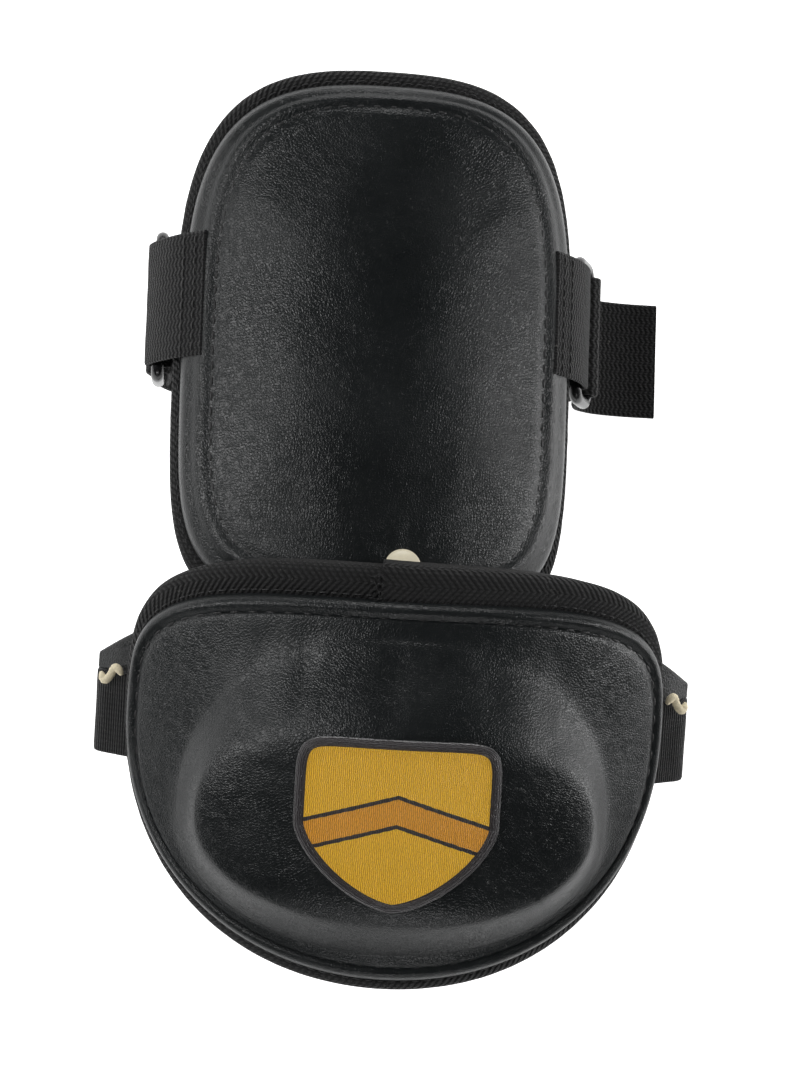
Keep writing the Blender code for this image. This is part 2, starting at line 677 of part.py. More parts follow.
def build_elastic(frame, fold):
    right, tilt = ear_points(1, EAR_Y)
    left = ear_points(-1, EAR_Y)[0]
    floor = ELASTIC_T / 2
    middle = ELASTIC_FLOOR_Y
    low = [(58 * MM, middle, 7.5 * MM), (30 * MM, middle, floor), (25 * MM, middle, floor)]
    side_right = [Vector((78 * MM, (right[3].y + middle) / 2, 32 * MM))] + [Vector(p) for p in low]
    side_left = [Vector((-p.x, p.y, p.z)) for p in side_right]
    side_right = [p + Vector((RIVET_X, 0, 0)) for p in side_right]
    side_left = [p + Vector((RIVET_X, 0, 0)) for p in side_left]
    points = right + side_right + side_left[::-1] + left[::-1]
    path = smooth_path(points, 2)
    across = []
    for point in path:
        point.z = max(point.z, floor)
        flat = min(max((60 * MM - point.z) / (50 * MM), 0), 1)
        across.append(tilt.lerp(Vector((0, 1, 0)), flat))
    strap = add_ribbon("elbow_strap", path, ELASTIC_WIDTH, "tape", frame, ELASTIC_T, across)
    keep_place(strap, fold)
    for side, word in ((1, "right"), (-1, "left")):
        ear, tilt = ear_points(side, EAR_Y + ELASTIC_WIDTH / 2 + GAP + GUSSET_WIDTH / 2)
        path = smooth_path(ear[:3], 3)
        widths = [GUSSET_WIDTH * (1 - 0.045 * i) for i in range(len(path))]
        gusset = add_ribbon(word + "_gusset", path, widths, "leather", frame, ELASTIC_T, tilt)
        keep_place(gusset, fold)
        build_tack(frame, fold, side, word)


def build_tack(frame, fold, side, word):
    """A cream cord lashed through the ear in two short loops."""
    ear, tilt = ear_points(side, EAR_Y + ELASTIC_WIDTH / 2)
    along = (ear[1] - ear[0]).normalized()
    out = along.cross(tilt) * side
    if out.z < 0:
        out = -out
    lift = ELASTIC_T / 2 + TACK_CLEAR + TACK_R
    centre = ear[1] + along * 0.4 * MM + out * lift
    points = []
    for step in range(9):
        t = step / 8
        wave = math.sin(2 * math.pi * t)
        points.append(centre + along * (t - 0.5) * 8 * MM + tilt * wave * 2.2 * MM
                      + out * 0.6 * MM * abs(wave))
    tack = add_tube(word + "_tack", points, TACK_R, "cream", frame)
    keep_place(tack, fold)


# ------------------------------------------------------------------ assembly

def centre_frame(frame):
    """Moves the frame so that the guard's footprint is centred and its lowest point is at Z = 0."""
    bpy.context.view_layer.update()
    graph = bpy.context.evaluated_depsgraph_get()
    corners = []
    for obj in PARTS.objects:
        if obj.type == "EMPTY":
            continue
        body = obj.evaluated_get(graph)
        mesh = body.to_mesh()
        corners += [obj.matrix_world @ v.co for v in mesh.vertices]
        body.to_mesh_clear()
    low = [min(c[i] for c in corners) for i in range(3)]
    high = [max(c[i] for c in corners) for i in range(3)]
    frame.location = (-(low[0] + high[0]) / 2, -(low[1] + high[1]) / 2, -low[2])


clear_scene()
PARTS = make_collection("arm_and_elbow_guard")
CUTTERS = make_collection("cutters")

guard = add_empty("guard_frame", (0, 0, 0))
build_rivet(guard, build_arm_pad(guard))
for side_sign, side_word in ((-1, "left"), (1, "right")):
    build_side(guard, side_sign, side_word)
build_arm_strap(guard)

swivel_axis = add_empty("swivel_axis", (RIVET_X, RIVET_Y, 0), guard, (0, 0, CUP_SWIVEL))
build_link(swivel_axis, "rivet_cutter")
fold_axis = add_empty("fold_axis", fold_line() - Vector((RIVET_X, RIVET_Y, 0)), swivel_axis, (CUP_FOLD, 0, 0))
build_cup(fold_axis)
build_elastic(guard, fold_axis)
centre_frame(guard)
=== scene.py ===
# %% [markdown]
# # A two-piece arm and elbow guard
# The imported solids give every size and place. This file puts the real surfaces round them: coated
# leather over foam, woven edge tape, webbing, elastic, stitches and an embroidered badge.
# The frame is loaded first.

# %% Load the frame
import json
import math
import random

import bmesh
import bpy
from mathutils import Matrix, Vector, noise

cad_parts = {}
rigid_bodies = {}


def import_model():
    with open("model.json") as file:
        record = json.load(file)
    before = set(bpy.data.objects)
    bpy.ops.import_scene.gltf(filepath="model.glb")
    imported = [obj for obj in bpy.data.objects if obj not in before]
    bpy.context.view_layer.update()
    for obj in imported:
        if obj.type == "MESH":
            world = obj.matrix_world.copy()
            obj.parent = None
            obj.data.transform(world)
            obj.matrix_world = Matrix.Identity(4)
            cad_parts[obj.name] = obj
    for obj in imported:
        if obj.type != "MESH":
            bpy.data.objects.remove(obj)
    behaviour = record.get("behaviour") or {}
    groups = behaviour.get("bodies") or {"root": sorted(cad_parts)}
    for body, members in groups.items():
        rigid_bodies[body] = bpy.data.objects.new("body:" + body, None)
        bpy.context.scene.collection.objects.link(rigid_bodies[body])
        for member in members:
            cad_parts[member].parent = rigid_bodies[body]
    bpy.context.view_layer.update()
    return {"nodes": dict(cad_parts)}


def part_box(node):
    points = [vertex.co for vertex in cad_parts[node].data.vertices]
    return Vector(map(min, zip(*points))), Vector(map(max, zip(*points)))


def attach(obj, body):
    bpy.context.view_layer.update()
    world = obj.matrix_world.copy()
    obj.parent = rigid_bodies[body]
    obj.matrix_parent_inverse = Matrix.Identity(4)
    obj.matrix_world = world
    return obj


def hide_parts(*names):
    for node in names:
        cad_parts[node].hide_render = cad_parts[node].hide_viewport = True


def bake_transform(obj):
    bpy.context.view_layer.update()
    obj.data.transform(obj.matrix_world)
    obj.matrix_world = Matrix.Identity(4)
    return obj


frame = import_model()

MM = 0.001
print("solids loaded:", len(frame["nodes"]))

# %% [markdown]
# The driving sizes are the designer's own. Depths count outwards from the inner face of the lining,
# and widths are measured round the arch, so a flat cutting pattern can be laid on a curved pad.
# One size differs: CUP_TOP is 48 mm here and 46 mm in the solids. The top edges still meet, but the
# rest of the cup's surfaces sits about 2 mm further from the pad than the solids do.

# %% Sizes
GAP = 0.3 * MM
ARM_RADIUS = 85 * MM
ARM_APEX_Z = 92 * MM
ARM_HALF_ARC = 65.5 * MM
ARM_HALF_LENGTH = 81 * MM
ARM_STACK = 7.3 * MM
ARM_COVER = 13.5 * MM
ARM_COVER_INSET = 4.3 * MM
CUP_RADIUS = 110 * MM
CUP_HALF_ARC = 87 * MM
CUP_TOP = 48 * MM
CUP_BOTTOM = 73.5 * MM
CUP_STACK = 9.3 * MM
CUP_COVER = 11.9 * MM
CUP_FOLD = math.radians(12.5)
CUP_ROLL = math.radians(-5)
CUP_OVERLAP = 10.9 * MM
CUP_EDGE_CLEAR = 10.1 * MM
COVER_T = 1.2 * MM
RIVET_X = 7 * MM
RIVET_Y = -ARM_HALF_LENGTH + 12.5 * MM
ARM_REF = ARM_RADIUS + 7 * MM
CUP_REF = CUP_RADIUS + CUP_STACK
STRAP_WIDTH = 38 * MM
STRAP_T = 1.6 * MM
DOME_CENTRE = -23 * MM
DOME_RISE = 12 * MM
DOME_HALF_WIDTH = 52 * MM
DOME_HALF_HEIGHT = 27.5 * MM
DOME_FLANK = 11 * MM
DOME_FLANK_TOP = 23 * MM

# %% [markdown]
# The pad's own middle line is found from the boxes of the solids, so the pieces below land exactly
# where the frame is.

# %% Where the guard stands
liner_low, liner_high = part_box("arm_liner")
ORIGIN = Vector(((liner_low[0] + liner_high[0]) / 2, (liner_low[1] + liner_high[1]) / 2, 0))
cup_height = ARM_APEX_Z + ARM_COVER + COVER_T + CUP_EDGE_CLEAR
CUP_TURN = Matrix.Rotation(CUP_FOLD, 4, "X") @ Matrix.Rotation(CUP_ROLL, 4, "Y")
CUP_FRAME = Matrix.Translation(ORIGIN + Vector((
    RIVET_X, -ARM_HALF_LENGTH + CUP_OVERLAP - CUP_TOP * math.cos(CUP_FOLD),
    cup_height - CUP_TOP * math.sin(CUP_FOLD)))) @ CUP_TURN
print("pad middle:", tuple(round(c, 4) for c in ORIGIN))


def on_arm(arc, y, depth):
    """A place on the arm pad, from its flat pattern and its depth."""
    angle = arc / ARM_REF
    radius = ARM_RADIUS + depth
    middle = ARM_APEX_Z - ARM_RADIUS
    return ORIGIN + Vector((radius * math.sin(angle), y, middle + radius * math.cos(angle)))


def on_cup(arc, y, depth):
    """The same on the elbow cup, which hangs back from the pad."""
    angle = arc / CUP_REF
    radius = CUP_RADIUS + depth
    local = Vector((radius * math.sin(angle), y, -CUP_RADIUS + radius * math.cos(angle)))
    return CUP_FRAME @ local


# %% [markdown]
# ## The camera and the light
# The guard is looked at from above, a little from the left. Dark leather shows its form only through
# what it reflects, so two long soft panels stand at the sides and a low one at each end.

# %% Camera, floor and lights
VIEW_FROM = ORIGIN + Vector((-0.1171, -0.1547, 0.9891))
VIEW_TILT = math.radians(5.73)
VIEW_YAW = math.radians(-8.26)
VIEW_ROLL = math.radians(2.64)
VIEW_LENS = 101.2


def make_camera():
    data = bpy.data.cameras.new("view")
    data.lens = VIEW_LENS
    data.clip_start = 0.01
    turn = Matrix.Rotation(VIEW_ROLL, 4, "Z") @ Matrix.Rotation(VIEW_TILT, 4, "X")
    camera = bpy.data.objects.new("view", data)
    camera.matrix_world = (Matrix.Translation(VIEW_FROM) @ turn @ Matrix.Rotation(VIEW_YAW, 4, "Y"))
    bpy.context.scene.collection.objects.link(camera)
    bpy.context.scene.camera = camera


def make_panel(name, place, aim, size, power):
    data = bpy.data.lights.new(name, "AREA")
    data.shape = "RECTANGLE"
    data.size, data.size_y = size
    data.energy = power
    panel = bpy.data.objects.new(name, data)
    panel.location = place
    panel.rotation_euler = (Vector(aim) - Vector(place)).to_track_quat("-Z", "Y").to_euler()
    bpy.context.scene.collection.objects.link(panel)


def make_floor():
    bm = bmesh.new()
    bmesh.ops.create_grid(bm, x_segments=2, y_segments=2, size=3.0)
    mesh = bpy.data.meshes.new("floor")
    bm.to_mesh(mesh)
    bm.free()
    floor = bpy.data.objects.new("floor", mesh)
    floor.location.z = -0.0005
    bpy.context.scene.collection.objects.link(floor)
    paper = bpy.data.materials.new("floor_paper")
    paper.use_nodes = True
    shader = paper.node_tree.nodes["Principled BSDF"]
    shader.inputs["Base Color"].default_value = (0.93, 0.93, 0.93, 1)
    shader.inputs["Roughness"].default_value = 0.95
    shader.inputs["Specular IOR Level"].default_value = 0.0
    shader.inputs["Emission Color"].default_value = (1, 1, 1, 1)
    shader.inputs["Emission Strength"].default_value = 0.95
    mesh.materials.append(paper)


make_camera()
make_floor()
make_panel("left_panel", (-0.85, 0.12, 0.72), (0, 0, 0.08), (0.16, 0.9), 7)
make_panel("right_panel", (0.95, 0.10, 0.42), (0, 0, 0.08), (0.12, 0.9), 6)
make_panel("front_panel", (0.05, -1.0, 0.62), (0, -0.05, 0.08), (0.9, 0.12), 3.5)
make_panel("far_panel", (0.0, 1.0, 0.55), (0, 0, 0.08), (0.8, 0.08), 5.5)
world = bpy.data.worlds.new("studio")
world.use_nodes = True
world.node_tree.nodes["Background"].inputs["Color"].default_value = (1, 1, 1, 1)
world.node_tree.nodes["Background"].inputs["Strength"].default_value = 0.016
bpy.context.scene.world = world
bpy.context.scene.view_settings.view_transform = "Standard"
print("camera and four soft panels set")

# %% [markdown]
# ## Finishes
# Three effects turn up in more than one finish, so each is a node group with named inputs: leather
# grain, a woven pattern, and fine dust and lint. A woven pattern needs to know which way the yarns
# run, so strips carry a stored direction called "lay": millimetres along and across.

# %% Small helpers for node groups


def new_group(name, inputs, outputs):
    group = bpy.data.node_groups.new(name, "ShaderNodeTree")
    for label, kind, value in inputs:
        socket = group.interface.new_socket(label, in_out="INPUT", socket_type=kind)
        if value is not None:
            socket.default_value = value
    for label, kind in outputs:
        group.interface.new_socket(label, in_out="OUTPUT", socket_type=kind)
    start = group.nodes.new("NodeGroupInput")
    end = group.nodes.new("NodeGroupOutput")
    return group, start, end


def math_node(tree, operation, first, second=None, third=None):
    node = tree.nodes.new("ShaderNodeMath")
    node.operation = operation
    for socket, value in zip(node.inputs, (first, second, third)):
        if value is None:
            continue
        if isinstance(value, (int, float)):
            socket.default_value = value
        else:
            tree.links.new(value, socket)
    return node.outputs[0]


def noise_node(tree, vector, scale, detail=2.0, roughness=0.5):
    node = tree.nodes.new("ShaderNodeTexNoise")
    node.inputs["Scale"].default_value = scale
    node.inputs["Detail"].default_value = detail
    node.inputs["Roughness"].default_value = roughness
    tree.links.new(vector, node.inputs["Vector"])
    return node.outputs[0]


def map_range(tree, value, low, high, to_low=0.0, to_high=1.0):
    node = tree.nodes.new("ShaderNodeMapRange")
    tree.links.new(value, node.inputs["Value"])
    node.inputs["From Min"].default_value = low
    node.inputs["From Max"].default_value = high
    node.inputs["To Min"].default_value = to_low
    node.inputs["To Max"].default_value = to_high
    return node.outputs[0]


def mix_colour(tree, factor, first, second):
    node = tree.nodes.new("ShaderNodeMix")
    node.data_type = "RGBA"
    tree.links.new(factor, node.inputs["Factor"])
    for socket, value in ((node.inputs["A"], first), (node.inputs["B"], second)):
        if hasattr(value, "is_output"):
            tree.links.new(value, socket)
        else:
            socket.default_value = (*value, 1)
    return node.outputs["Result"]


# %% [markdown]
# Coated leather has a grain of tiny pebbles with creases between them. A Voronoi cell pattern gives
# the pebbles, and a noise pushed through its coordinates keeps them from looking tiled.

# %% Grain group


def build_grain():
    group, start, end = new_group(
        "leather_grain",
        [("Position", "NodeSocketVector", None), ("Pebbles per m", "NodeSocketFloat", 1100.0)],
        [("Height", "NodeSocketFloat"), ("Patches", "NodeSocketFloat")])
    wander = noise_node(group, start.outputs["Position"], 260.0, 3.0)
    push = group.nodes.new("ShaderNodeVectorMath")
    push.operation = "SCALE"
    group.links.new(wander, push.inputs[0])
    push.inputs["Scale"].default_value = 0.0016
    moved = group.nodes.new("ShaderNodeVectorMath")
    moved.operation = "ADD"
    group.links.new(start.outputs["Position"], moved.inputs[0])
    group.links.new(push.outputs[0], moved.inputs[1])
    cells = group.nodes.new("ShaderNodeTexVoronoi")
    cells.feature = "DISTANCE_TO_EDGE"
    group.links.new(moved.outputs[0], cells.inputs["Vector"])
    group.links.new(start.outputs["Pebbles per m"], cells.inputs["Scale"])
    pebbles = map_range(group, cells.outputs["Distance"], 0.0, 0.28)
    fine = noise_node(group, start.outputs["Position"], 2600.0, 2.0)
    height = math_node(group, "MULTIPLY_ADD", fine, 0.35, pebbles)
    group.links.new(height, end.inputs["Height"])
    patches = noise_node(group, start.outputs["Position"], 34.0, 4.0, 0.6)
    group.links.new(patches, end.inputs["Patches"])
    return group


GRAIN = build_grain()
print("grain group:", len(GRAIN.nodes), "nodes")

# %% [markdown]
# Every woven piece is the same idea with other numbers: yarns cross, and each one lies over the
# next in a fixed rhythm. Slanted sine ridges read as twill, and turning the slant over at regular
# steps across the strip gives the herringbone of edge tape.

# %% Weave group


def build_weave():
    group, start, end = new_group(
        "woven_yarns",
        [("Lay", "NodeSocketVector", None), ("Ridge mm", "NodeSocketFloat", 1.3),
         ("Slant", "NodeSocketFloat", 0.8), ("Turn mm", "NodeSocketFloat", 4.0),
         ("Yarn mm", "NodeSocketFloat", 0.7)],
        [("Height", "NodeSocketFloat"), ("Yarn", "NodeSocketFloat")])
    split = group.nodes.new("ShaderNodeSeparateXYZ")
    group.links.new(start.outputs["Lay"], split.inputs[0])
    along, across = split.outputs[0], split.outputs[1]
    fold = math_node(group, "PINGPONG", across, start.outputs["Turn mm"])
    slid = math_node(group, "MULTIPLY_ADD", fold, start.outputs["Slant"], along)
    turns = math_node(group, "DIVIDE", slid, start.outputs["Ridge mm"])
    ridge = math_node(group, "SINE", math_node(group, "MULTIPLY", turns, 2 * math.pi))
    steps = math_node(group, "DIVIDE", across, start.outputs["Yarn mm"])
    beads = math_node(group, "SINE", math_node(group, "MULTIPLY", steps, 2 * math.pi))
    ridge_up = map_range(group, ridge, -1.0, 1.0)
    beads_up = map_range(group, beads, -1.0, 1.0, 0.55, 1.0)
    height = math_node(group, "MULTIPLY", ridge_up, beads_up)
    hairs = noise_node(group, start.outputs["Lay"], 3.2, 3.0, 0.7)
    rough = math_node(group, "MULTIPLY_ADD", hairs, 0.5, height)
    group.links.new(rough, end.inputs["Height"])
    # The Yarn output is the same height without hairs; the woven finishes paint shade and highlight with
    # it.
    group.links.new(height, end.inputs["Yarn"])
    return group


WEAVE = build_weave()
print("weave group:", len(WEAVE.nodes), "nodes")

# %% [markdown]
# Dark gear gathers lint and pale dust, mostly in small specks. The group puts out a mask, and each
# finish decides how far to mix it in.

# %% Dust group


def build_dust():
    group, start, end = new_group(
        "dust_specks", [("Position", "NodeSocketVector", None), ("Amount", "NodeSocketFloat", 0.3)],
        [("Mask", "NodeSocketFloat")])
    specks = noise_node(group, start.outputs["Position"], 900.0, 2.0)
    drift = noise_node(group, start.outputs["Position"], 45.0, 3.0)
    sharp = map_range(group, specks, 0.66, 0.74)
    wide = map_range(group, drift, 0.45, 0.75, 0.1, 1.0)
    mask = math_node(group, "MULTIPLY", math_node(group, "MULTIPLY", sharp, wide),
                     start.outputs["Amount"])
    group.links.new(mask, end.inputs["Mask"])
    return group


DUST = build_dust()

# %% [markdown]
# A finish is then a Principled shader fed by those groups. Numbers that are the same all over go
# straight on the shader's sockets.

# %% Finish maker


def new_finish(name, colour, roughness, **constants):
    material = bpy.data.materials.new(name)
    material.use_nodes = True
    tree = material.node_tree
    shader = tree.nodes["Principled BSDF"]
    shader.inputs["Base Color"].default_value = (*colour, 1)
    shader.inputs["Roughness"].default_value = roughness
    for label, value in constants.items():
        shader.inputs[label.replace("_", " ")].default_value = value
    return material, tree, shader


def place_group(tree, group, **values):
    node = tree.nodes.new("ShaderNodeGroup")
    node.node_tree = group
    for label, value in values.items():
        socket = node.inputs[label.replace("_", " ")]
        if hasattr(value, "is_output"):
            tree.links.new(value, socket)
        else:
            socket.default_value = value
    return node


def object_position(tree):
    return tree.nodes.new("ShaderNodeTexCoord").outputs["Object"]


def stored_lay(tree):
    node = tree.nodes.new("ShaderNodeAttribute")
    node.attribute_name = "lay"
    return node.outputs["Vector"]


def add_bump(tree, shader, height, distance):
    bump = tree.nodes.new("ShaderNodeBump")
    bump.inputs["Distance"].default_value = distance
    bump.inputs["Strength"].default_value = 1.0
    tree.links.new(height, bump.inputs["Height"])
    tree.links.new(bump.outputs["Normal"], shader.inputs["Normal"])


def leather_finish(name, colour, roughness, pebbles, depth, lint=0.12):
    material, tree, shader = new_finish(name, colour, roughness, Specular_IOR_Level=0.32)
    spot = object_position(tree)
    grain = place_group(tree, GRAIN, Position=spot, Pebbles_per_m=pebbles)
    dust = place_group(tree, DUST, Position=spot, Amount=lint)
    tone = mix_colour(tree, grain.outputs["Patches"], colour, [c * 1.5 for c in colour])
    tone = mix_colour(tree, dust.outputs["Mask"], tone, (0.32, 0.31, 0.29))
    tree.links.new(tone, shader.inputs["Base Color"])
    sheen = map_range(tree, grain.outputs["Patches"], 0.3, 0.75, roughness - 0.06, roughness + 0.08)
    tree.links.new(sheen, shader.inputs["Roughness"])
    add_bump(tree, shader, grain.outputs["Height"], depth)
    return material


def woven_finish(name, colour, ridge, slant, turn, yarn, depth, lint=0.25):
    material, tree, shader = new_finish(name, colour, 0.78, Sheen_Weight=0.06, Sheen_Roughness=0.5,
                                        Specular_IOR_Level=0.22)
    weave = place_group(tree, WEAVE, Lay=stored_lay(tree), Ridge_mm=ridge, Slant=slant,
                        Turn_mm=turn, Yarn_mm=yarn)
    dust = place_group(tree, DUST, Position=object_position(tree), Amount=lint)
    # Painted shade and highlight: the colour is darkened in the grooves between yarns and lightened on the
    # ridges, following the yarn height.
    tone = mix_colour(tree, weave.outputs["Yarn"], [c * 0.3 for c in colour], [c * 2.2 for c in colour])
    tone = mix_colour(tree, dust.outputs["Mask"], tone, (0.35, 0.34, 0.31))
    tree.links.new(tone, shader.inputs["Base Color"])
    add_bump(tree, shader, weave.outputs["Height"], depth)
    return material


COAT = leather_finish("coated_leather", (0.0055, 0.0066, 0.0070), 0.33, 1250.0, 0.00005)
COAT_SOFT = leather_finish("soft_coated_leather", (0.0055, 0.0062, 0.0066), 0.44, 1000.0, 0.00008)
TAPE = woven_finish("edge_tape_weave", (0.0085, 0.0085, 0.0088), 2.0, 0.9, 5.2, 1.1, 0.0011)
WEBBING = woven_finish("webbing_weave", (0.0058, 0.0058, 0.0062), 1.7, 0.55, 1.6, 0.9, 0.0005)
ELASTIC = woven_finish("ribbed_elastic", (0.0062, 0.0062, 0.0066), 0.9, 0.0, 50.0, 1.55, 0.0005)
print("leather and woven finishes made")

# %% [markdown]
# The remaining finishes are small: brushed lining, moulded plastic for the rings and plates, hook
# and loop, cream cord, the cream rivet, seam thread and two kinds of badge thread.

# %% Small finishes
FLOAT_MM = 0.5
BAND_MIDDLE_MM = 4.8
BADGE_MIDDLE_MM = round(DOME_CENTRE / MM, 3)
BAND_HALF_MM = 3.6


def noisy_finish(name, colour, roughness, scale, depth, spread=0.5, **constants):
    material, tree, shader = new_finish(name, colour, roughness, **constants)
    spot = object_position(tree)
    fine = noise_node(tree, spot, scale, 4.0, 0.65)
    slow = noise_node(tree, spot, 40.0, 2.0)
    blend = math_node(tree, "MULTIPLY", fine, slow)
    tone = mix_colour(tree, map_range(tree, blend, 0.12, 0.4), [c * (1 - spread) for c in colour],
                      [c * (1 + spread) for c in colour])
    tree.links.new(tone, shader.inputs["Base Color"])
    rough = map_range(tree, slow, 0.3, 0.7, roughness - 0.05, min(roughness + 0.08, 1.0))
    tree.links.new(rough, shader.inputs["Roughness"])
    add_bump(tree, shader, fine, depth)
    return material


def thread_finish(name, colour, run):
    """Badge thread: long floats side by side, with painted highlight along each float's crown and painted
    shade between the floats and at their staggered ends.
    """
    material, tree, shader = new_finish(name, colour, 0.42, Sheen_Weight=0.3, Sheen_Roughness=0.35)
    split = tree.nodes.new("ShaderNodeSeparateXYZ")
    tree.links.new(stored_lay(tree), split.inputs[0])
    drift = noise_node(tree, stored_lay(tree), 0.6, 2.0)
    side = split.outputs[0] if run == "up" else split.outputs[1]
    other = split.outputs[1] if run == "up" else split.outputs[0]
    swayed = math_node(tree, "MULTIPLY_ADD", drift, 0.7, side)
    floats = math_node(tree, "SINE", math_node(tree, "MULTIPLY", swayed, 2 * math.pi / FLOAT_MM))
    step = math_node(tree, "FLOOR", math_node(tree, "DIVIDE", side, FLOAT_MM))
    rows = math_node(tree, "MULTIPLY_ADD", step, 0.37, math_node(tree, "MULTIPLY", other, 1 / 4.2))
    ends = math_node(tree, "ABSOLUTE", math_node(tree, "SINE", math_node(tree, "MULTIPLY", rows, math.pi)))
    bodies = map_range(tree, ends, 0.0, 0.3, 0.55, 1.0)
    height = math_node(tree, "MULTIPLY", map_range(tree, floats, -1.0, 1.0, 0.15, 1.0), bodies)
    # Painted highlight and shade: the colour follows the floats' height, lighter on the crowns, darker
    # between floats and at their ends.
    tone = mix_colour(tree, height, [c * 0.55 for c in colour], [min(c * 1.25, 1.0) for c in colour])
    if run == "up":
        tone = badge_band(tree, split, drift, height, tone)
    tree.links.new(tone, shader.inputs["Base Color"])
    add_bump(tree, shader, height, 0.00025)
    return material


def badge_band(tree, split, drift, height, tone):
    """An amber chevron with a dark line on each side, drawn from the badge's own flat pattern."""
    slope = math_node(tree, "MULTIPLY", math_node(tree, "ABSOLUTE", split.outputs[0]), 0.35)
    level = math_node(tree, "ADD", split.outputs[1], slope)
    level = math_node(tree, "SUBTRACT", level, BADGE_MIDDLE_MM)
    level = math_node(tree, "MULTIPLY_ADD", drift, 0.5, level)
    away = math_node(tree, "ABSOLUTE", math_node(tree, "SUBTRACT", level, BAND_MIDDLE_MM))
    # Painted highlight and shade: the amber and the dark thread are each lighter on the float crowns and
    # darker between floats, following the same height.
    amber = mix_colour(tree, height, (0.42, 0.17, 0.010), (0.90, 0.40, 0.035))
    dark = mix_colour(tree, height, (0.006, 0.005, 0.006), (0.04, 0.033, 0.036))
    inside = map_range(tree, away, BAND_HALF_MM, BAND_HALF_MM + 0.1)
    outside = map_range(tree, away, BAND_HALF_MM + 1.2, BAND_HALF_MM + 1.3)
    edged = mix_colour(tree, inside, amber, dark)
    return mix_colour(tree, outside, edged, tone)


LINING = noisy_finish("brushed_lining", (0.016, 0.016, 0.018), 0.92, 2600.0, 0.00025, 0.6,
                      Sheen_Weight=0.5, Sheen_Roughness=0.6)
PLATE = noisy_finish("moulded_plate", (0.05, 0.05, 0.054), 0.5, 1500.0, 0.00006)
RING = noisy_finish("glossy_ring", (0.010, 0.010, 0.011), 0.22, 700.0, 0.00002, 0.3)
HOOK = noisy_finish("hook_and_loop", (0.012, 0.012, 0.013), 0.95, 1800.0, 0.0005, 0.7)
CREAM = noisy_finish("cream_rivet", (0.72, 0.66, 0.50), 0.38, 420.0, 0.00004, 0.10)
CORD = noisy_finish("cream_cord", (0.70, 0.62, 0.44), 0.75, 1700.0, 0.0002, 0.22)
THREAD = noisy_finish("seam_thread", (0.004, 0.004, 0.0045), 0.5, 3000.0, 0.0001, 0.5)
GOLD = thread_finish("gold_floats", (1.0, 0.47, 0.025), "up")
SATIN = thread_finish("dark_satin", (0.022, 0.018, 0.020), "across")
print("finishes:", len(bpy.data.materials))

# %% [markdown]
# ## Making surfaces
# A padded panel is cut flat and pulled over a curved body. So each one is a square grid whose rings
# are pulled to rounded outlines, like a cloth drawn over a frame. Every ring has its own depth, and
# the run between two given rings can be straight, eased or rounded like a rolled edge.

# %% Grid surfaces


def on_outline(ring, u, v):
    """A point of a rounded outline: half width, top, bottom, widest line, powers above and below."""
    side, top, bottom, middle, power_up, power_down = ring
    power = power_up if v > 0 else power_down
    reach = top - middle if v > 0 else middle - bottom
    scale = (abs(u) ** power + abs(v) ** power) ** (-1 / power)
    return side * u * scale, middle + reach * v * scale


def fill_rings(keys):
    """keys: (ring, depth, steps, how). Returns every ring between them, from the middle out."""
    stations = []
    for first, second in zip(keys, keys[1:]):
        steps, how = second[2], second[3]
        for step in range(1, steps + 1):
            t = step / steps
            run, drop = t, t
            if how == "ease":
                drop = t * t * (3 - 2 * t)
            if how == "round":
                run, drop = math.sin(t * math.pi / 2), 1 - math.cos(t * math.pi / 2)
            ring = tuple(a + (b - a) * run for a, b in zip(first[0], second[0]))
            stations.append((ring, first[1] + (second[1] - first[1]) * drop))
    return stations


def shrink(ring, share):
    side, top, bottom, centre, power_up, power_down = ring
    return (side * share, centre + (top - centre) * share, centre + (bottom - centre) * share, centre,
            2 + (power_up - 2) * share, 2 + (power_down - 2) * share)


def finish_mesh(bm, name, lay, finish, outward=None):
    """Turns a working mesh into an object, with its stored yarn directions."""
    bmesh.ops.recalc_face_normals(bm, faces=bm.faces)
    if outward is not None:
        bm.faces.ensure_lookup_table()
        middle = bm.faces[len(bm.faces) // 2]
        if middle.normal.dot(outward) < 0:
            bmesh.ops.reverse_faces(bm, faces=bm.faces)
    mesh = bpy.data.meshes.new(name)
    bm.to_mesh(mesh)
    bm.free()
    if lay:
        stored = mesh.attributes.new("lay", "FLOAT_VECTOR", "POINT")
        stored.data.foreach_set("vector", [c for spot in lay for c in spot])
    mesh.shade_smooth()
    mesh.materials.append(finish)
    obj = bpy.data.objects.new(name, mesh)
    bpy.context.scene.collection.objects.link(obj)
    return obj


def skin(bm, rows, loop=False, round_rows=True):
    """Faces between neighbouring rows; loop joins the last row to the first one."""
    pairs = list(zip(rows, rows[1:]))
    if loop:
        pairs.append((rows[-1], rows[0]))
    for first, second in pairs:
        count = len(first)
        for i in range(count if round_rows else count - 1):
            j = (i + 1) % count
            bm.faces.new((first[i], first[j], second[j], second[i]))


def cap_ends(bm, sections):
    bm.faces.new(sections[0])
    bm.faces.new(sections[-1][::-1])


def grid_surface(name, stations, place, finish, relief=None):
    count = len(stations)
    bm = bmesh.new()
    lay = []
    rows = []
    centre_y = stations[0][0][3]
    for j in range(-count, count + 1):
        row = []
        for i in range(-count, count + 1):
            ring = max(abs(i), abs(j))
            outline, depth = stations[max(ring, 1) - 1]
            flat = on_outline(outline, i / ring, j / ring) if ring else (0.0, centre_y)
            if relief:
                depth += relief(flat[0], flat[1], ring / count)
            row.append(bm.verts.new(place(flat[0], flat[1], depth)))
            lay.append((flat[0] / MM, flat[1] / MM, 0.0))
        rows.append(row)
    skin(bm, rows, round_rows=False)
    return finish_mesh(bm, name, lay, finish, place(0, centre_y, 1) - place(0, centre_y, 0))


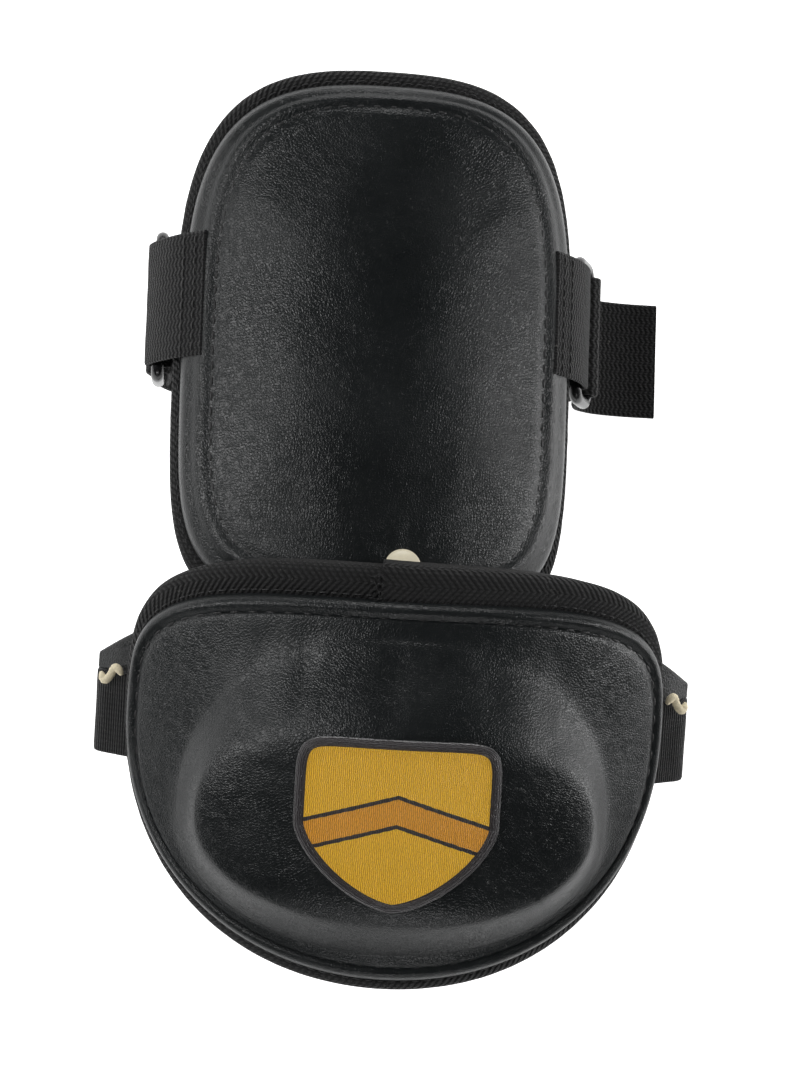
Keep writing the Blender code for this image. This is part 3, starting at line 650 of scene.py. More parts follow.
def thicken(obj, thickness, offset=-1.0):
    solid = obj.modifiers.new("thickness", "SOLIDIFY")
    solid.thickness = thickness
    solid.offset = offset
    solid.use_even_offset = True


def soft_noise(x, y, size, seed=0.0):
    """A smooth wander between -1 and 1, with features about size across."""
    return noise.noise(Vector((x / size, y / size, seed)))


# %% [markdown]
# Straps, tape and cord are sections swept along a line. The line is a Catmull-Rom curve, which
# passes through every point that it is given.

# %% Swept pieces


def smooth_path(points, per_span):
    points = [Vector(p) for p in points]
    ends = [2 * points[0] - points[1]] + points + [2 * points[-1] - points[-2]]
    path = []
    for i in range(1, len(ends) - 2):
        a, b, c, d = ends[i - 1:i + 3]
        for step in range(per_span):
            t = step / per_span
            path.append(0.5 * (2 * b + (c - a) * t + (2 * a - 5 * b + 4 * c - d) * t * t
                               + (3 * b - a - 3 * c + d) * t ** 3))
    path.append(points[-1])
    return path


def even_path(points, spacing):
    """The same line with its points an even distance apart."""
    lengths = [0.0]
    for a, b in zip(points, points[1:]):
        lengths.append(lengths[-1] + (b - a).length)
    count = max(2, round(lengths[-1] / spacing))
    path, k = [], 0
    for step in range(count + 1):
        goal = lengths[-1] * step / count
        while k < len(points) - 2 and lengths[k + 1] < goal:
            k += 1
        span = max(lengths[k + 1] - lengths[k], 1e-9)
        path.append(points[k].lerp(points[k + 1], (goal - lengths[k]) / span))
    return path


def tangents(path, closed=False):
    count = len(path)
    found = []
    for i in range(count):
        before = path[(i - 1) % count] if closed else path[max(i - 1, 0)]
        after = path[(i + 1) % count] if closed else path[min(i + 1, count - 1)]
        found.append((after - before).normalized())
    return found


def flat_section(width, thick, steps=14):
    """A flat strip's outline with soft edges: (across, up) pairs, anticlockwise."""
    half, edge = width / 2 - thick / 2, thick / 2
    top = [(half - 2 * half * i / steps, edge) for i in range(steps + 1)]
    left = [(-half - edge * math.sin(math.radians(a)), edge * math.cos(math.radians(a)))
            for a in (36, 72, 108, 144)]
    low = [(-x, -edge) for x, _ in top]
    right = [(-x, -y) for x, y in left]
    return top + left + low + right


def strap(name, path, across, width, thick, finish, spacing=1.2 * MM, wave=0.15 * MM, taper=None):
    """A closed strip of webbing, leather or elastic along a line."""
    count = len(path)
    given = across if isinstance(across, list) else [Vector(across)] * count
    bm = bmesh.new()
    lay, sections = [], []
    reached = 0.0
    directions = tangents(path)
    for k, point in enumerate(path):
        if k:
            reached += (point - path[k - 1]).length
        side = given[k].normalized()
        up = directions[k].cross(side).normalized()
        share = k / (count - 1)
        here = width * (taper(share) if taper else 1.0)
        ring = []
        for s, t in flat_section(here, thick):
            lift = wave * soft_noise(s + reached, reached * 0.8, 9 * MM, 3.7)
            ring.append(bm.verts.new(point + side * s + up * (t + lift)))
            lay.append((reached / MM, s / MM, 0.0))
        sections.append(ring)
    skin(bm, sections)
    cap_ends(bm, sections)
    obj = finish_mesh(bm, name, lay, finish)
    obj.data.set_sharp_from_angle(angle=math.radians(70))
    return obj


def tube(name, path, radius, finish, sides=14, closed=False):
    """A round cord, bar or ring along a line."""
    bm = bmesh.new()
    lay, sections = [], []
    directions = tangents(path, closed)
    side = directions[0].orthogonal().normalized()
    reached = 0.0
    for k, point in enumerate(path):
        if k:
            reached += (point - path[k - 1]).length
            side = (side - directions[k] * side.dot(directions[k])).normalized()
        up = directions[k].cross(side)
        size = radius(k / (len(path) - 1)) if callable(radius) else radius
        ring = []
        for i in range(sides):
            angle = 2 * math.pi * i / sides
            ring.append(bm.verts.new(point + (side * math.cos(angle) + up * math.sin(angle)) * size))
            lay.append((reached / MM, angle * size / MM, 0.0))
        sections.append(ring)
    skin(bm, sections, closed)
    if not closed:
        cap_ends(bm, sections)
    return finish_mesh(bm, name, lay, finish)


# %% [markdown]
# A sewn seam is a row of short threads, each pulled into the leather at both ends. They are small
# capsules with their ends bent down, gathered into one mesh for each seam.

# %% Stitches


def add_stitch(bm, centre, along, up, length, radius):
    side = along.cross(up).normalized()
    rings = []
    for k in range(7):
        t = k / 6 - 0.5
        swell = math.sqrt(max(1 - (2 * t) ** 4, 0.02))
        middle = centre + along * length * t + up * radius * (0.55 - 3.0 * t * t)
        ring = []
        for i in range(6):
            angle = math.pi * i / 3
            ring.append(bm.verts.new(middle + (side * math.cos(angle) + up * math.sin(angle))
                                     * radius * swell))
        rings.append(ring)
    skin(bm, rings)
    cap_ends(bm, rings)


def seam(name, spots, length, radius, finish):
    """spots: (centre, along, up) of each stitch."""
    bm = bmesh.new()
    for centre, along, up in spots:
        add_stitch(bm, centre, along, up, length, radius)
    return finish_mesh(bm, name, None, finish)


def walk_outline(ring, pitch, steps, start=0.0, stop=360.0):
    """Flat points an even pitch apart round an outline."""
    flats = []
    for step in range(steps + 1):
        angle = math.radians(start + (stop - start) * step / steps)
        flats.append(Vector((*on_outline(ring, math.cos(angle), math.sin(angle)), 0)))
    return even_path(flats, pitch)


def outline_spots(ring, place, depth, pitch, relief=None):
    """Even places round an outline, with the direction along it and out of the surface."""
    spots = []
    even = walk_outline(ring, pitch, 720)
    ways = tangents(even)
    for flat, way in zip(even[:-1], ways):
        extra = relief(flat.x, flat.y, 0.8) if relief else 0.0
        here = place(flat.x, flat.y, depth + extra)
        ahead = place(flat.x + way.x * 0.5 * MM, flat.y + way.y * 0.5 * MM, depth + extra)
        over = place(flat.x, flat.y, depth + extra + 1 * MM)
        spots.append((here, (ahead - here).normalized(), (over - here).normalized()))
    return spots


# %% [markdown]
# Leather and lining that are drawn tight over foam settle a little between their seams. A short cloth
# run gives that: the seams are pinned, the sheet is cut slightly large and a light pressure fills it.
# Only the movement out of the surface is kept. It is limited and then spread over its neighbours, so
# a piece stays in its place, and the result is written into the mesh.

# %% Settling fabric


def calm(mesh, lifts, rounds=30):
    """Spread each movement over its neighbours, so that only soft swells and hollows stay."""
    near = [[k] for k in range(len(lifts))]
    for edge in mesh.edges:
        first, second = edge.vertices
        near[first].append(second)
        near[second].append(first)
    for _ in range(rounds):
        lifts = [sum(lifts[j] for j in group) / len(group) for group in near]
    return lifts


def settle(obj, pinned, pressure=3.0, ease=0.012, limit=1.0 * MM, frames=18):
    """pinned(k): how firmly each vertex is held, from 0 to 1."""
    mesh = obj.data
    start = [v.co.copy() for v in mesh.vertices]
    held = obj.vertex_groups.new(name="held")
    for k in range(len(start)):
        held.add([k], pinned(k), "REPLACE")
    cloth = obj.modifiers.new("cloth", "CLOTH")
    cloth.settings.quality = 4
    cloth.settings.mass = 0.25
    cloth.settings.tension_stiffness = 25
    cloth.settings.compression_stiffness = 25
    cloth.settings.bending_stiffness = 0.6
    cloth.settings.vertex_group_mass = "held"
    cloth.settings.shrink_min = -ease
    cloth.settings.use_pressure = True
    cloth.settings.uniform_pressure_force = pressure
    cloth.settings.effector_weights.gravity = 0.0
    cloth.collision_settings.use_collision = False
    cloth.point_cache.frame_start = 1
    cloth.point_cache.frame_end = frames
    scene = bpy.context.scene
    for frame_number in range(1, frames + 1):
        scene.frame_set(frame_number)
    graph = bpy.context.evaluated_depsgraph_get()
    moved = obj.evaluated_get(graph).data
    ends = [v.co.copy() for v in moved.vertices]
    obj.modifiers.remove(cloth)
    scene.frame_set(1)
    lifts = [(new - old).dot(vertex.normal) * (1 - pinned(k))
             for k, (vertex, old, new) in enumerate(zip(mesh.vertices, start, ends))]
    lifts = calm(mesh, [min(max(lift, -limit), limit) for lift in lifts])
    outward = [vertex.normal.copy() for vertex in mesh.vertices]
    for vertex, old, way, lift in zip(mesh.vertices, start, outward, lifts):
        vertex.co = old + way * lift
    mesh.update()
    most = max(abs(lift) for lift in lifts)
    print(obj.name, "settled by up to", round(most * 1000, 2), "mm")


def ring_of(k, count):
    """Which ring of a square grid its k-th point is on, counted from the middle."""
    width = 2 * count + 1
    return max(abs(k % width - count), abs(k // width - count))


def ride(obj, body, slot_name, *nodes):
    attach(obj, body)
    if nodes:
        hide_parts(*nodes)
    return obj


# %% [markdown]
# ## The arm pad
# Its body is a foam sheet with a brushed lining inside. Both are one soft cushion here: the lining's
# face is slightly full between its edges, and it turns over the foam's edge under the tape.

# %% Arm pad body


def arm_ring(inset_side, inset_end):
    return (ARM_HALF_ARC - inset_side, ARM_HALF_LENGTH - inset_end, -ARM_HALF_LENGTH + inset_end,
            0.0, 3.2, 4.6)


def closed_pad(name, stations_low, stations_high, place, low_finish, high_finish, relief):
    """A cushion: a grid for each face, joined along their shared outline."""
    lower = grid_surface(name + "_low", stations_low, place, low_finish, relief)
    upper = grid_surface(name, stations_high, place, high_finish)
    lower.data.flip_normals()
    bm = bmesh.new()
    bm.from_mesh(upper.data)
    for face in bm.faces:
        face.material_index = 0
    before = len(bm.faces)
    bm.from_mesh(lower.data)
    bm.faces.ensure_lookup_table()
    for face in bm.faces[before:]:
        face.material_index = 1
    bmesh.ops.remove_doubles(bm, verts=bm.verts, dist=0.00002)
    bmesh.ops.recalc_face_normals(bm, faces=bm.faces)
    bm.to_mesh(upper.data)
    bm.free()
    upper.data.materials.append(low_finish)
    bpy.data.objects.remove(lower)
    return upper


def lining_relief(x, y, share):
    """Brushed lining is never quite flat: it lies in low, wide waves."""
    fade = min(1.0, (1 - share) * 8)
    return fade * (0.35 * MM * soft_noise(x, y, 26 * MM, 1.3) + 0.12 * MM * soft_noise(x, y, 9 * MM, 5.1))


def make_arm_pad():
    edge = arm_ring(0, 0)
    low_edge = arm_ring(1.0 * MM, 1.0 * MM)
    top = [(shrink(edge, 0.02), ARM_STACK, 0, ""), (shrink(edge, 0.9), ARM_STACK, 22, "line"),
           (arm_ring(2 * MM, 2 * MM), ARM_STACK, 3, "line"), (edge, ARM_STACK / 2, 5, "round")]
    low = [(shrink(edge, 0.02), 0.2 * MM, 0, ""), (shrink(edge, 0.9), 0.1 * MM, 22, "line"),
           (arm_ring(2 * MM, 2 * MM), 0.0, 3, "line"), (edge, ARM_STACK / 2, 5, "round")]
    pad = closed_pad("arm_pad", fill_rings(low), fill_rings(top), on_arm, LINING, COAT_SOFT,
                     lining_relief)
    held = [float(is_on_edge(v.co)) for v in pad.data.vertices]
    settle(pad, lambda k: held[k], pressure=1.5, limit=0.5 * MM)
    ride(pad, "arm_guard", "lining", "arm_liner", "arm_backing")
    return pad


def arm_depth_of(point):
    local = point - ORIGIN
    return math.hypot(local.x, local.z - (ARM_APEX_Z - ARM_RADIUS)) - ARM_RADIUS


def is_on_edge(point):
    """Everything but the lining's own face is held by the tape and the foam."""
    local = point - ORIGIN
    arc = abs(math.atan2(local.x, local.z - (ARM_APEX_Z - ARM_RADIUS)) * ARM_REF)
    near_edge = arc > ARM_HALF_ARC - 8 * MM or abs(local.y) > ARM_HALF_LENGTH - 8 * MM
    near_rivet = math.hypot(arc, local.y - RIVET_Y) < 20 * MM
    return arm_depth_of(point) > 1.0 * MM or near_edge or near_rivet


arm_pad = make_arm_pad()
print("arm pad body:", len(arm_pad.data.vertices), "points")

# %% [markdown]
# The front of the pad is coated leather over a foam sheet and a stiff plate. It rises from its edge
# over a rolled rim, dips at the sewn line inside the rim, and dimples where the rivet pulls it down.

# %% Arm cover
ARM_FACE = ARM_COVER + COVER_T
ARM_SEWN_RING = 40
ARM_SEAM_RING = arm_ring(ARM_COVER_INSET + 12.5 * MM, ARM_COVER_INSET + 7.1 * MM)


def arm_cover_relief(x, y, share):
    away = math.hypot(x - RIVET_X, y - RIVET_Y)
    pull = math.exp(-(away / (8.5 * MM)) ** 2)
    angle = math.atan2(y - RIVET_Y, x - RIVET_X)
    pucker = math.sin(angle * 7 + 1.1) * math.exp(-((away - 9 * MM) / (4 * MM)) ** 2)
    fade = min(1.0, (1 - share) * 6)
    slow = soft_noise(x, y, 30 * MM, 2.2) * 0.35 * MM
    fine = soft_noise(x, y, 7 * MM, 8.2) * 0.06 * MM
    return -1.0 * MM * pull + 0.16 * MM * pucker + fade * (slow + fine)


def make_arm_cover():
    crest = arm_ring(ARM_COVER_INSET + 9.5 * MM, ARM_COVER_INSET + 5 * MM)
    outer_crest = arm_ring(ARM_COVER_INSET + 5.5 * MM, ARM_COVER_INSET + 3.2 * MM)
    edge = arm_ring(ARM_COVER_INSET, ARM_COVER_INSET)
    groove = ARM_SEAM_RING
    inner = arm_ring(ARM_COVER_INSET + 15.5 * MM, ARM_COVER_INSET + 10 * MM)
    keys = [(shrink(inner, 0.02), ARM_FACE, 0, ""), (shrink(inner, 0.93), ARM_FACE, 34, "line"),
            (inner, ARM_FACE, 3, "line"), (groove, ARM_FACE - 0.6 * MM, 4, "ease"),
            (crest, ARM_FACE + 0.15 * MM, 4, "ease"),
            (outer_crest, ARM_FACE - 1.2 * MM, 4, "ease"),
            (edge, ARM_STACK + 0.1 * MM, 9, "round")]
    stations = fill_rings(keys)
    cover = grid_surface("arm_cover_leather", stations, on_arm, COAT, arm_cover_relief)
    count = len(stations)
    settle(cover, lambda k: float(ring_of(k, count) >= ARM_SEWN_RING), pressure=2.5, limit=0.5 * MM)
    thicken(cover, 0.8 * MM)
    ride(cover, "arm_guard", "leather", "arm_cover", "arm_front_foam")
    return cover


def make_arm_seam():
    spots = outline_spots(ARM_SEAM_RING, on_arm, ARM_FACE - 0.25 * MM, 4.6 * MM, arm_cover_relief)
    return ride(seam("arm_cover_stitches", spots, 3.6 * MM, 0.5 * MM, THREAD), "arm_guard", "thread")


arm_cover = make_arm_cover()
arm_seam = make_arm_seam()
print("arm cover:", len(arm_cover.data.vertices), "points")

# %% [markdown]
# Woven tape is folded over the raw edge and sewn through. Its free edge wanders a little, and it
# ripples where it goes round a tight corner.

# %% Edge tape
TAPE_T = 1.2 * MM
TAPE_CLEAR = 0.45 * MM
TAPE_BEND = 2.6 * MM
TAPE_UNDER = 7 * MM
TAPE_STEP = 1.3 * MM
TAPE_STITCH = 2.6 * MM
TAPE_STITCH_R = 0.3 * MM
TAPE_PITCH = 3.4 * MM
FINE_STEPS = 1440


def tape_section(front, stack, extra=0.0):
    """The tape's middle line seen end on: (inwards from the edge, depth)."""
    top = stack + TAPE_CLEAR + TAPE_T / 2 + extra
    low = -TAPE_CLEAR - TAPE_T / 2 - extra
    out = low
    bend = TAPE_BEND
    section = [(front + (bend + out - front) * k / 5, top) for k in range(6)]
    for degrees in (22, 45, 68, 90):
        angle = math.radians(degrees)
        section.append((out + bend - bend * math.sin(angle), top - bend + bend * math.cos(angle)))
    section.append((out, (top + low) / 2))
    for degrees in (0, 22, 45, 68, 90):
        angle = math.radians(degrees)
        section.append((out + bend - bend * math.cos(angle), low + bend - bend * math.sin(angle)))
    section += [(out + bend + (TAPE_UNDER - bend - out) * k / 3, low) for k in (1, 2, 3)]
    return section


def edge_tape(name, edge, cover_edge, place, stack, start=0.0, stop=360.0, extra=0.0, seed=0.0):
    loop = stop - start > 359
    path = walk_outline(edge, TAPE_STEP, FINE_STEPS, start, stop)
    if loop:
        path = path[:-1]
    ways = tangents(path, loop)
    bm = bmesh.new()
    lay, rows = [], []
    reached = 0.0
    for k, (here, way) in enumerate(zip(path, ways)):
        reached += (here - path[k - 1]).length if k else 0.0
        inward = Vector((-way.y, way.x, 0))
        goal = nearest_run(here, inward, cover_edge)
        wander = 0.45 * MM * soft_noise(reached, 0.0, 17 * MM, seed)
        section = tape_section(goal - 0.25 * MM + wander * 0.5, stack, extra * k / len(path))
        row, across = [], 0.0
        for i, (reach, depth) in enumerate(section):
            if i:
                across += math.dist(section[i - 1], (reach, depth))
            ripple = 0.16 * MM * soft_noise(reached, across, 5 * MM, seed + 4)
            flat = here + inward * reach
            row.append(bm.verts.new(place(flat.x, flat.y, depth + ripple)))
            lay.append((reached / MM, across / MM, 0.0))
        rows.append(row)
    skin(bm, rows, loop, False)
    tape = finish_mesh(bm, name, lay, TAPE)
    thicken(tape, TAPE_T, 0.0)
    return tape


def nearest_run(here, inward, ring):
    """How far inwards from the pad's edge the cover's edge lies."""
    side, top, bottom, middle, power_up, power_down = ring
    reach = 0.0
    while reach < 14 * MM:
        x, y = here.x + inward.x * reach, here.y + inward.y * reach
        power = power_up if y > middle else power_down
        half = top - middle if y > middle else middle - bottom
        if (abs(x) / side) ** power + (abs(y - middle) / half) ** power < 1:
            return reach
        reach += 0.1 * MM
    return reach


def sew_tape(name, ring, place, stack, body):
    spots = outline_spots(ring, place, stack + GAP + TAPE_T, TAPE_PITCH)
    return ride(seam(name, spots, TAPE_STITCH, TAPE_STITCH_R, THREAD), body, "thread")


arm_tape = edge_tape("arm_tape", arm_ring(0, 0), arm_ring(ARM_COVER_INSET, ARM_COVER_INSET), on_arm,
                     ARM_STACK, seed=1.0)
ride(arm_tape, "arm_guard", "tape", "arm_edge_tape")
sew_tape("arm_tape_stitches", arm_ring(2.4 * MM, 2.4 * MM), on_arm, ARM_STACK, "arm_guard")
print("arm tape:", len(arm_tape.data.vertices), "points")

# %% [markdown]
# ## The elbow cup
# The cup hangs from the pad's lower edge. Its lining and backing are one cushion again, wider and
# with a straighter top edge, so the outline is square above and round below.

# %% Cup body


def cup_ring(inset_side, inset_top, power_up=3.6):
    return (CUP_HALF_ARC - inset_side, CUP_TOP - inset_top, -CUP_BOTTOM + inset_side, 0.0, power_up,
            2.05)


def dome_ring(grow, share=1.0, grow_top=None):
    """An outline of the dome; its upper slope is longer than the others."""
    half = DOME_HALF_HEIGHT * share
    above = grow if grow_top is None else grow_top
    return (DOME_HALF_WIDTH * share + grow, DOME_CENTRE + half + above, DOME_CENTRE - half - grow,
            DOME_CENTRE, 2.2, 2.2)


def shift_ring(ring, share, middle):
    """A ring part of the way towards the dome's outline, so that rows run smoothly into it."""
    return tuple(a + (b - a) * share for a, b in zip(ring, middle))


def make_cup_pad():
    edge, near = cup_ring(0, 0), cup_ring(2 * MM, 2 * MM)
    top = [(shrink(edge, 0.02), CUP_STACK, 0, ""), (shrink(edge, 0.9), CUP_STACK, 24, "line"),
           (near, CUP_STACK, 3, "line"), (edge, CUP_STACK / 2, 5, "round")]
    low = [(shrink(edge, 0.02), 0.2 * MM, 0, ""), (shrink(edge, 0.9), 0.1 * MM, 24, "line"),
           (near, 0.0, 3, "line"), (edge, CUP_STACK / 2, 5, "round")]
    pad = closed_pad("cup_pad", fill_rings(low), fill_rings(top), on_cup, LINING, COAT_SOFT,
                     lining_relief)
    ride(pad, "elbow_cup", "lining", "cup_liner", "cup_backing")
    return pad


cup_pad = make_cup_pad()
print("cup body:", len(cup_pad.data.vertices), "points")

# %% [markdown]
# The cup's cover is one sheet drawn over a low oval dome. Between the dome and the top seam the sheet
# has slack, so it stands in a few soft upright folds. Its rim is narrow and shiny.

# %% Cup cover
CUP_FACE = CUP_COVER + COVER_T
CUP_BADGE_RING = 14
CUP_SEWN_RING = 52
CUP_SEAM_RING = cup_ring(6.4 * MM, 13.0 * MM)
FOLDS = ((-41, 3.6, 0.55), (-27, 3.0, 0.75), (-3, 4.2, 0.6), (24, 4.0, 0.35), (45, 5.0, 0.4))


def cup_cover_relief(x, y, share):
    band = math.exp(-((y - 16 * MM) / (10 * MM)) ** 2)
    total = 0.0
    for middle, width, deep in FOLDS:
        lean = 0.06 * (y - 16 * MM)
        sway = 1.2 * MM * soft_noise(y, middle * MM, 14 * MM, middle)
        total -= deep * math.exp(-((x - middle * MM - lean - sway) / (width * MM)) ** 2)
    flat = min(1.0, max(0.0, math.hypot(x / (30 * MM), (y - DOME_CENTRE) / (29 * MM)) - 0.75) * 3)
    fade = min(1.0, (1 - share) * 7) * flat
    slow = soft_noise(x, y, 26 * MM, 6.6) * 0.4
    ripple = soft_noise(x * 1.6, y, 9 * MM, 9.3) * 0.10
    return (band * total + fade * (slow + ripple)) * MM


def make_cup_cover():
    seam_ring = CUP_SEAM_RING
    crest = cup_ring(4.7 * MM, 10.7 * MM)
    edge = cup_ring(2.5 * MM, 8.5 * MM)
    high = CUP_FACE + DOME_RISE
    foot = dome_ring(DOME_FLANK, 1.0, DOME_FLANK_TOP)
    keys = [(dome_ring(0, 0.02), high + 0.3 * MM, 0, ""),
            (dome_ring(0, 0.8), high + 0.1 * MM, 20, "line"),
            (dome_ring(1 * MM), high - 0.8 * MM, 6, "ease"),
            (foot, CUP_FACE + 0.9 * MM, 14, "line"),
            (shift_ring(foot, 0.3, seam_ring), CUP_FACE + 0.1 * MM, 4, "ease"),
            (shift_ring(foot, 0.9, seam_ring), CUP_FACE, 8, "line"),
            (seam_ring, CUP_FACE - 0.5 * MM, 4, "ease"), (crest, CUP_FACE + 0.5 * MM, 4, "ease"),
            (edge, CUP_STACK + 0.2 * MM, 8, "round")]
    stations = fill_rings(keys)
    smooth_depths(stations)
    cover = grid_surface("cup_cover_leather", stations, on_cup, COAT, cup_cover_relief)
    count = len(stations)
    settle(cover, lambda k: float(not CUP_BADGE_RING <= ring_of(k, count) < CUP_SEWN_RING),
           pressure=2.0, limit=0.6 * MM)
    thicken(cover, 0.8 * MM)
    ride(cover, "elbow_cup", "leather", "cup_cover", "cup_dome_foam")
    return cover


def smooth_depths(stations, first=18, last=46, passes=12):
    """Leather bridges a sharp shoulder, so the depths there are averaged with their neighbours."""
    for _ in range(passes):
        depths = [depth for _, depth in stations]
        for k in range(first, last):
            average = (depths[k - 1] + depths[k] * 2 + depths[k + 1]) / 4
            stations[k] = (stations[k][0], average)


def make_cup_seam():
    spots = outline_spots(CUP_SEAM_RING, on_cup, CUP_FACE - 0.1 * MM, 5.4 * MM, cup_cover_relief)
    return ride(seam("cup_cover_stitches", spots, 4.0 * MM, 0.55 * MM, THREAD), "elbow_cup", "thread")


cup_cover = make_cup_cover()
cup_seam = make_cup_seam()
print("cup cover:", len(cup_cover.data.vertices), "points")

# %% [markdown]
# The cup's edge tape is wide along the top, where it shows its whole weave. Its two ends meet at the
# top middle: one lies over the other, and the cut end has frayed.

# %% Cup tape
cup_tape = edge_tape("cup_tape", cup_ring(0, 0), cup_ring(2.5 * MM, 8.5 * MM), on_cup, CUP_STACK,
                     seed=2.0)
ride(cup_tape, "elbow_cup", "tape", "cup_edge_tape")
lap = edge_tape("cup_tape_lap", cup_ring(0, 0), cup_ring(2.5 * MM, 8.9 * MM), on_cup, CUP_STACK, 62, 95,
                TAPE_T, 7.0)
ride(lap, "elbow_cup", "tape")
sew_tape("cup_tape_stitches", cup_ring(1.6 * MM, 6.8 * MM), on_cup, CUP_STACK, "elbow_cup")


def make_fray():
    """Loose ends of yarn standing out of the tape's cut end."""
    chance = random.Random(11)
    x, y = on_outline(cup_ring(0, 0), math.cos(math.radians(94.8)), math.sin(math.radians(94.8)))
    pieces = []
    for k in range(9):
        reach = chance.uniform(-0.5, 7.5) * MM
        points = []
        for step in range(5):
            t = step / 4
            points.append(on_cup(x - t * chance.uniform(1.2, 4.2) * MM,
                                 y - reach + t * chance.uniform(-1.6, 1.6) * MM,
                                 CUP_STACK + TAPE_T * 2 + chance.uniform(0.0, 1.0) * MM))
        path = smooth_path(points, 3)
        pieces.append(tube("fray_" + str(k), path, 0.11 * MM, THREAD, 6))
    return join_pieces("cup_tape_fray", pieces)


def join_pieces(name, pieces):
    bm = bmesh.new()
    for piece in pieces:
        bm.from_mesh(piece.data)
        finish = piece.data.materials[0]
        bpy.data.objects.remove(piece)
    mesh = bpy.data.meshes.new(name)
    bm.to_mesh(mesh)
    bm.free()
    mesh.materials.append(finish)
    mesh.shade_smooth()
    joined = bpy.data.objects.new(name, mesh)
    bpy.context.scene.collection.objects.link(joined)
    return joined


ride(make_fray(), "elbow_cup", "thread")
print("cup tape:", len(cup_tape.data.vertices), "points")

# %% [markdown]
# ## The badge
# An embroidered patch: long gold floats fill a plain shield, an amber band crosses it, and a raised
# satin border covers the cut edge. The yarns run up and down, so light slides along them, and
# their colour also carries painted highlight and shade along each float.

# %% Badge
BADGE_HALF_WIDTH = 26 * MM
BADGE_HALF_HEIGHT = 25 * MM
BADGE_DEPTH = CUP_FACE + DOME_RISE + 0.9 * MM
SATIN_STEP = 0.5 * MM


def badge_ring(share, inset=0.0):
    return (BADGE_HALF_WIDTH * share - inset, DOME_CENTRE + BADGE_HALF_HEIGHT * share - inset,
            DOME_CENTRE - BADGE_HALF_HEIGHT * share + inset, DOME_CENTRE, 9.0, 1.5)


def make_badge():
    keys = [(badge_ring(0.02), BADGE_DEPTH + 0.9 * MM, 0, ""),
            (badge_ring(1.0, 1.6 * MM), BADGE_DEPTH + 0.7 * MM, 40, "line")]
    field = grid_surface("badge_field", fill_rings(keys), on_cup, GOLD)
    thicken(field, 0.5 * MM)
    ride(field, "elbow_cup", "thread", "emblem")
    border = satin_border()
    ride(border, "elbow_cup", "thread")
    return field


def satin_border():
    path = walk_outline(badge_ring(1.0, 1.3 * MM), SATIN_STEP, FINE_STEPS)[:-1]
    ways = tangents(path, True)
    bm = bmesh.new()
    lay, rows = [], []
    for k, (here, way) in enumerate(zip(path, ways)):
        inward = Vector((-way.y, way.x, 0))
        row = []
        for i in range(9):
            angle = math.pi * i / 8
            spot = here - inward * math.cos(angle) * 1.5 * MM
            row.append(bm.verts.new(place_badge(spot, math.sin(angle))))
            lay.append((k * SATIN_STEP / MM, i * 0.5, 0.0))
        rows.append(row)
    skin(bm, rows, True, False)
    border = finish_mesh(bm, "badge_border", lay, SATIN, on_cup(0, 0, 1) - on_cup(0, 0, 0))
    thicken(border, 0.3 * MM)
    return border


def place_badge(spot, lift):
    return on_cup(spot.x, spot.y, BADGE_DEPTH + 0.1 * MM + lift * 1.25 * MM)


make_badge()
print("badge made")

# %% [markdown]
# ## Rivet, tabs and rings
# The cream rivet holds the link tab, which is leather and carries the cup. At each side a webbing tab
# starts on the cover's face, turns round a moulded ring and goes back under the lining.

# %% Rivet


def turned(name, profile, middle, finish, steps=48):
    """A solid of revolution; the profile runs from the top middle outwards and down."""
    bm = bmesh.new()
    rows = []
    for step in range(steps):
        angle = 2 * math.pi * step / steps
        rows.append([bm.verts.new(middle + Vector((r * math.cos(angle), r * math.sin(angle), z)))
                     for r, z in profile])
    skin(bm, rows, True, False)
    bm.faces.new([row[0] for row in rows])
    bm.faces.new([row[-1] for row in rows][::-1])
    return finish_mesh(bm, name, None, finish)


def make_rivet():
    low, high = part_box("rivet")
    top, middle = high.z, Vector(((low.x + high.x) / 2, (low.y + high.y) / 2, 0))
    radius = (high.x - low.x) / 2
    profile = []
    for k in range(13):
        t = k / 12
        dimple = 0.35 * MM * (1 - min(1, t * 2.5)) ** 2
        fall = 2.3 * MM * (1 - math.cos(t * math.pi / 2))
        profile.append((max(radius * math.sin(t * math.pi / 2), 0.02 * MM), top - dimple - fall))
    profile += [(radius * 0.97, top - 2.9 * MM), (2 * MM, top - 2.9 * MM), (2 * MM, low.z)]
    ride(turned("rivet_cap", profile, middle, CREAM), "arm_guard", "cream", "rivet")


make_rivet()
for node in ("rivet_back", "arm_plate", "cup_shell"):
    part = frame["nodes"][node]
    part.data.materials.clear()
    part.data.materials.append(PLATE)
print("rivet made; plate, shell and washer keep their solids")

# %% [markdown]
# Both rings are round moulded bars bent to a long rounded rectangle. Each hangs from its tab by one
# long bar and carries the strap on the other.

# %% Rings and tabs
RING_X = 65.2 * MM
RING_Z = 66.6 * MM
RING_HANG = {1: math.radians(67), -1: math.radians(95)}
RING_REACH = 16 * MM
RING_BAR_R = 2 * MM
RING_LENGTH = 43 * MM
RING_CORNER = 3.5 * MM
STRAP_Y = 13 * MM
TAB_T = 1.6 * MM
WRAP = RING_BAR_R + GAP + 0.2 * MM


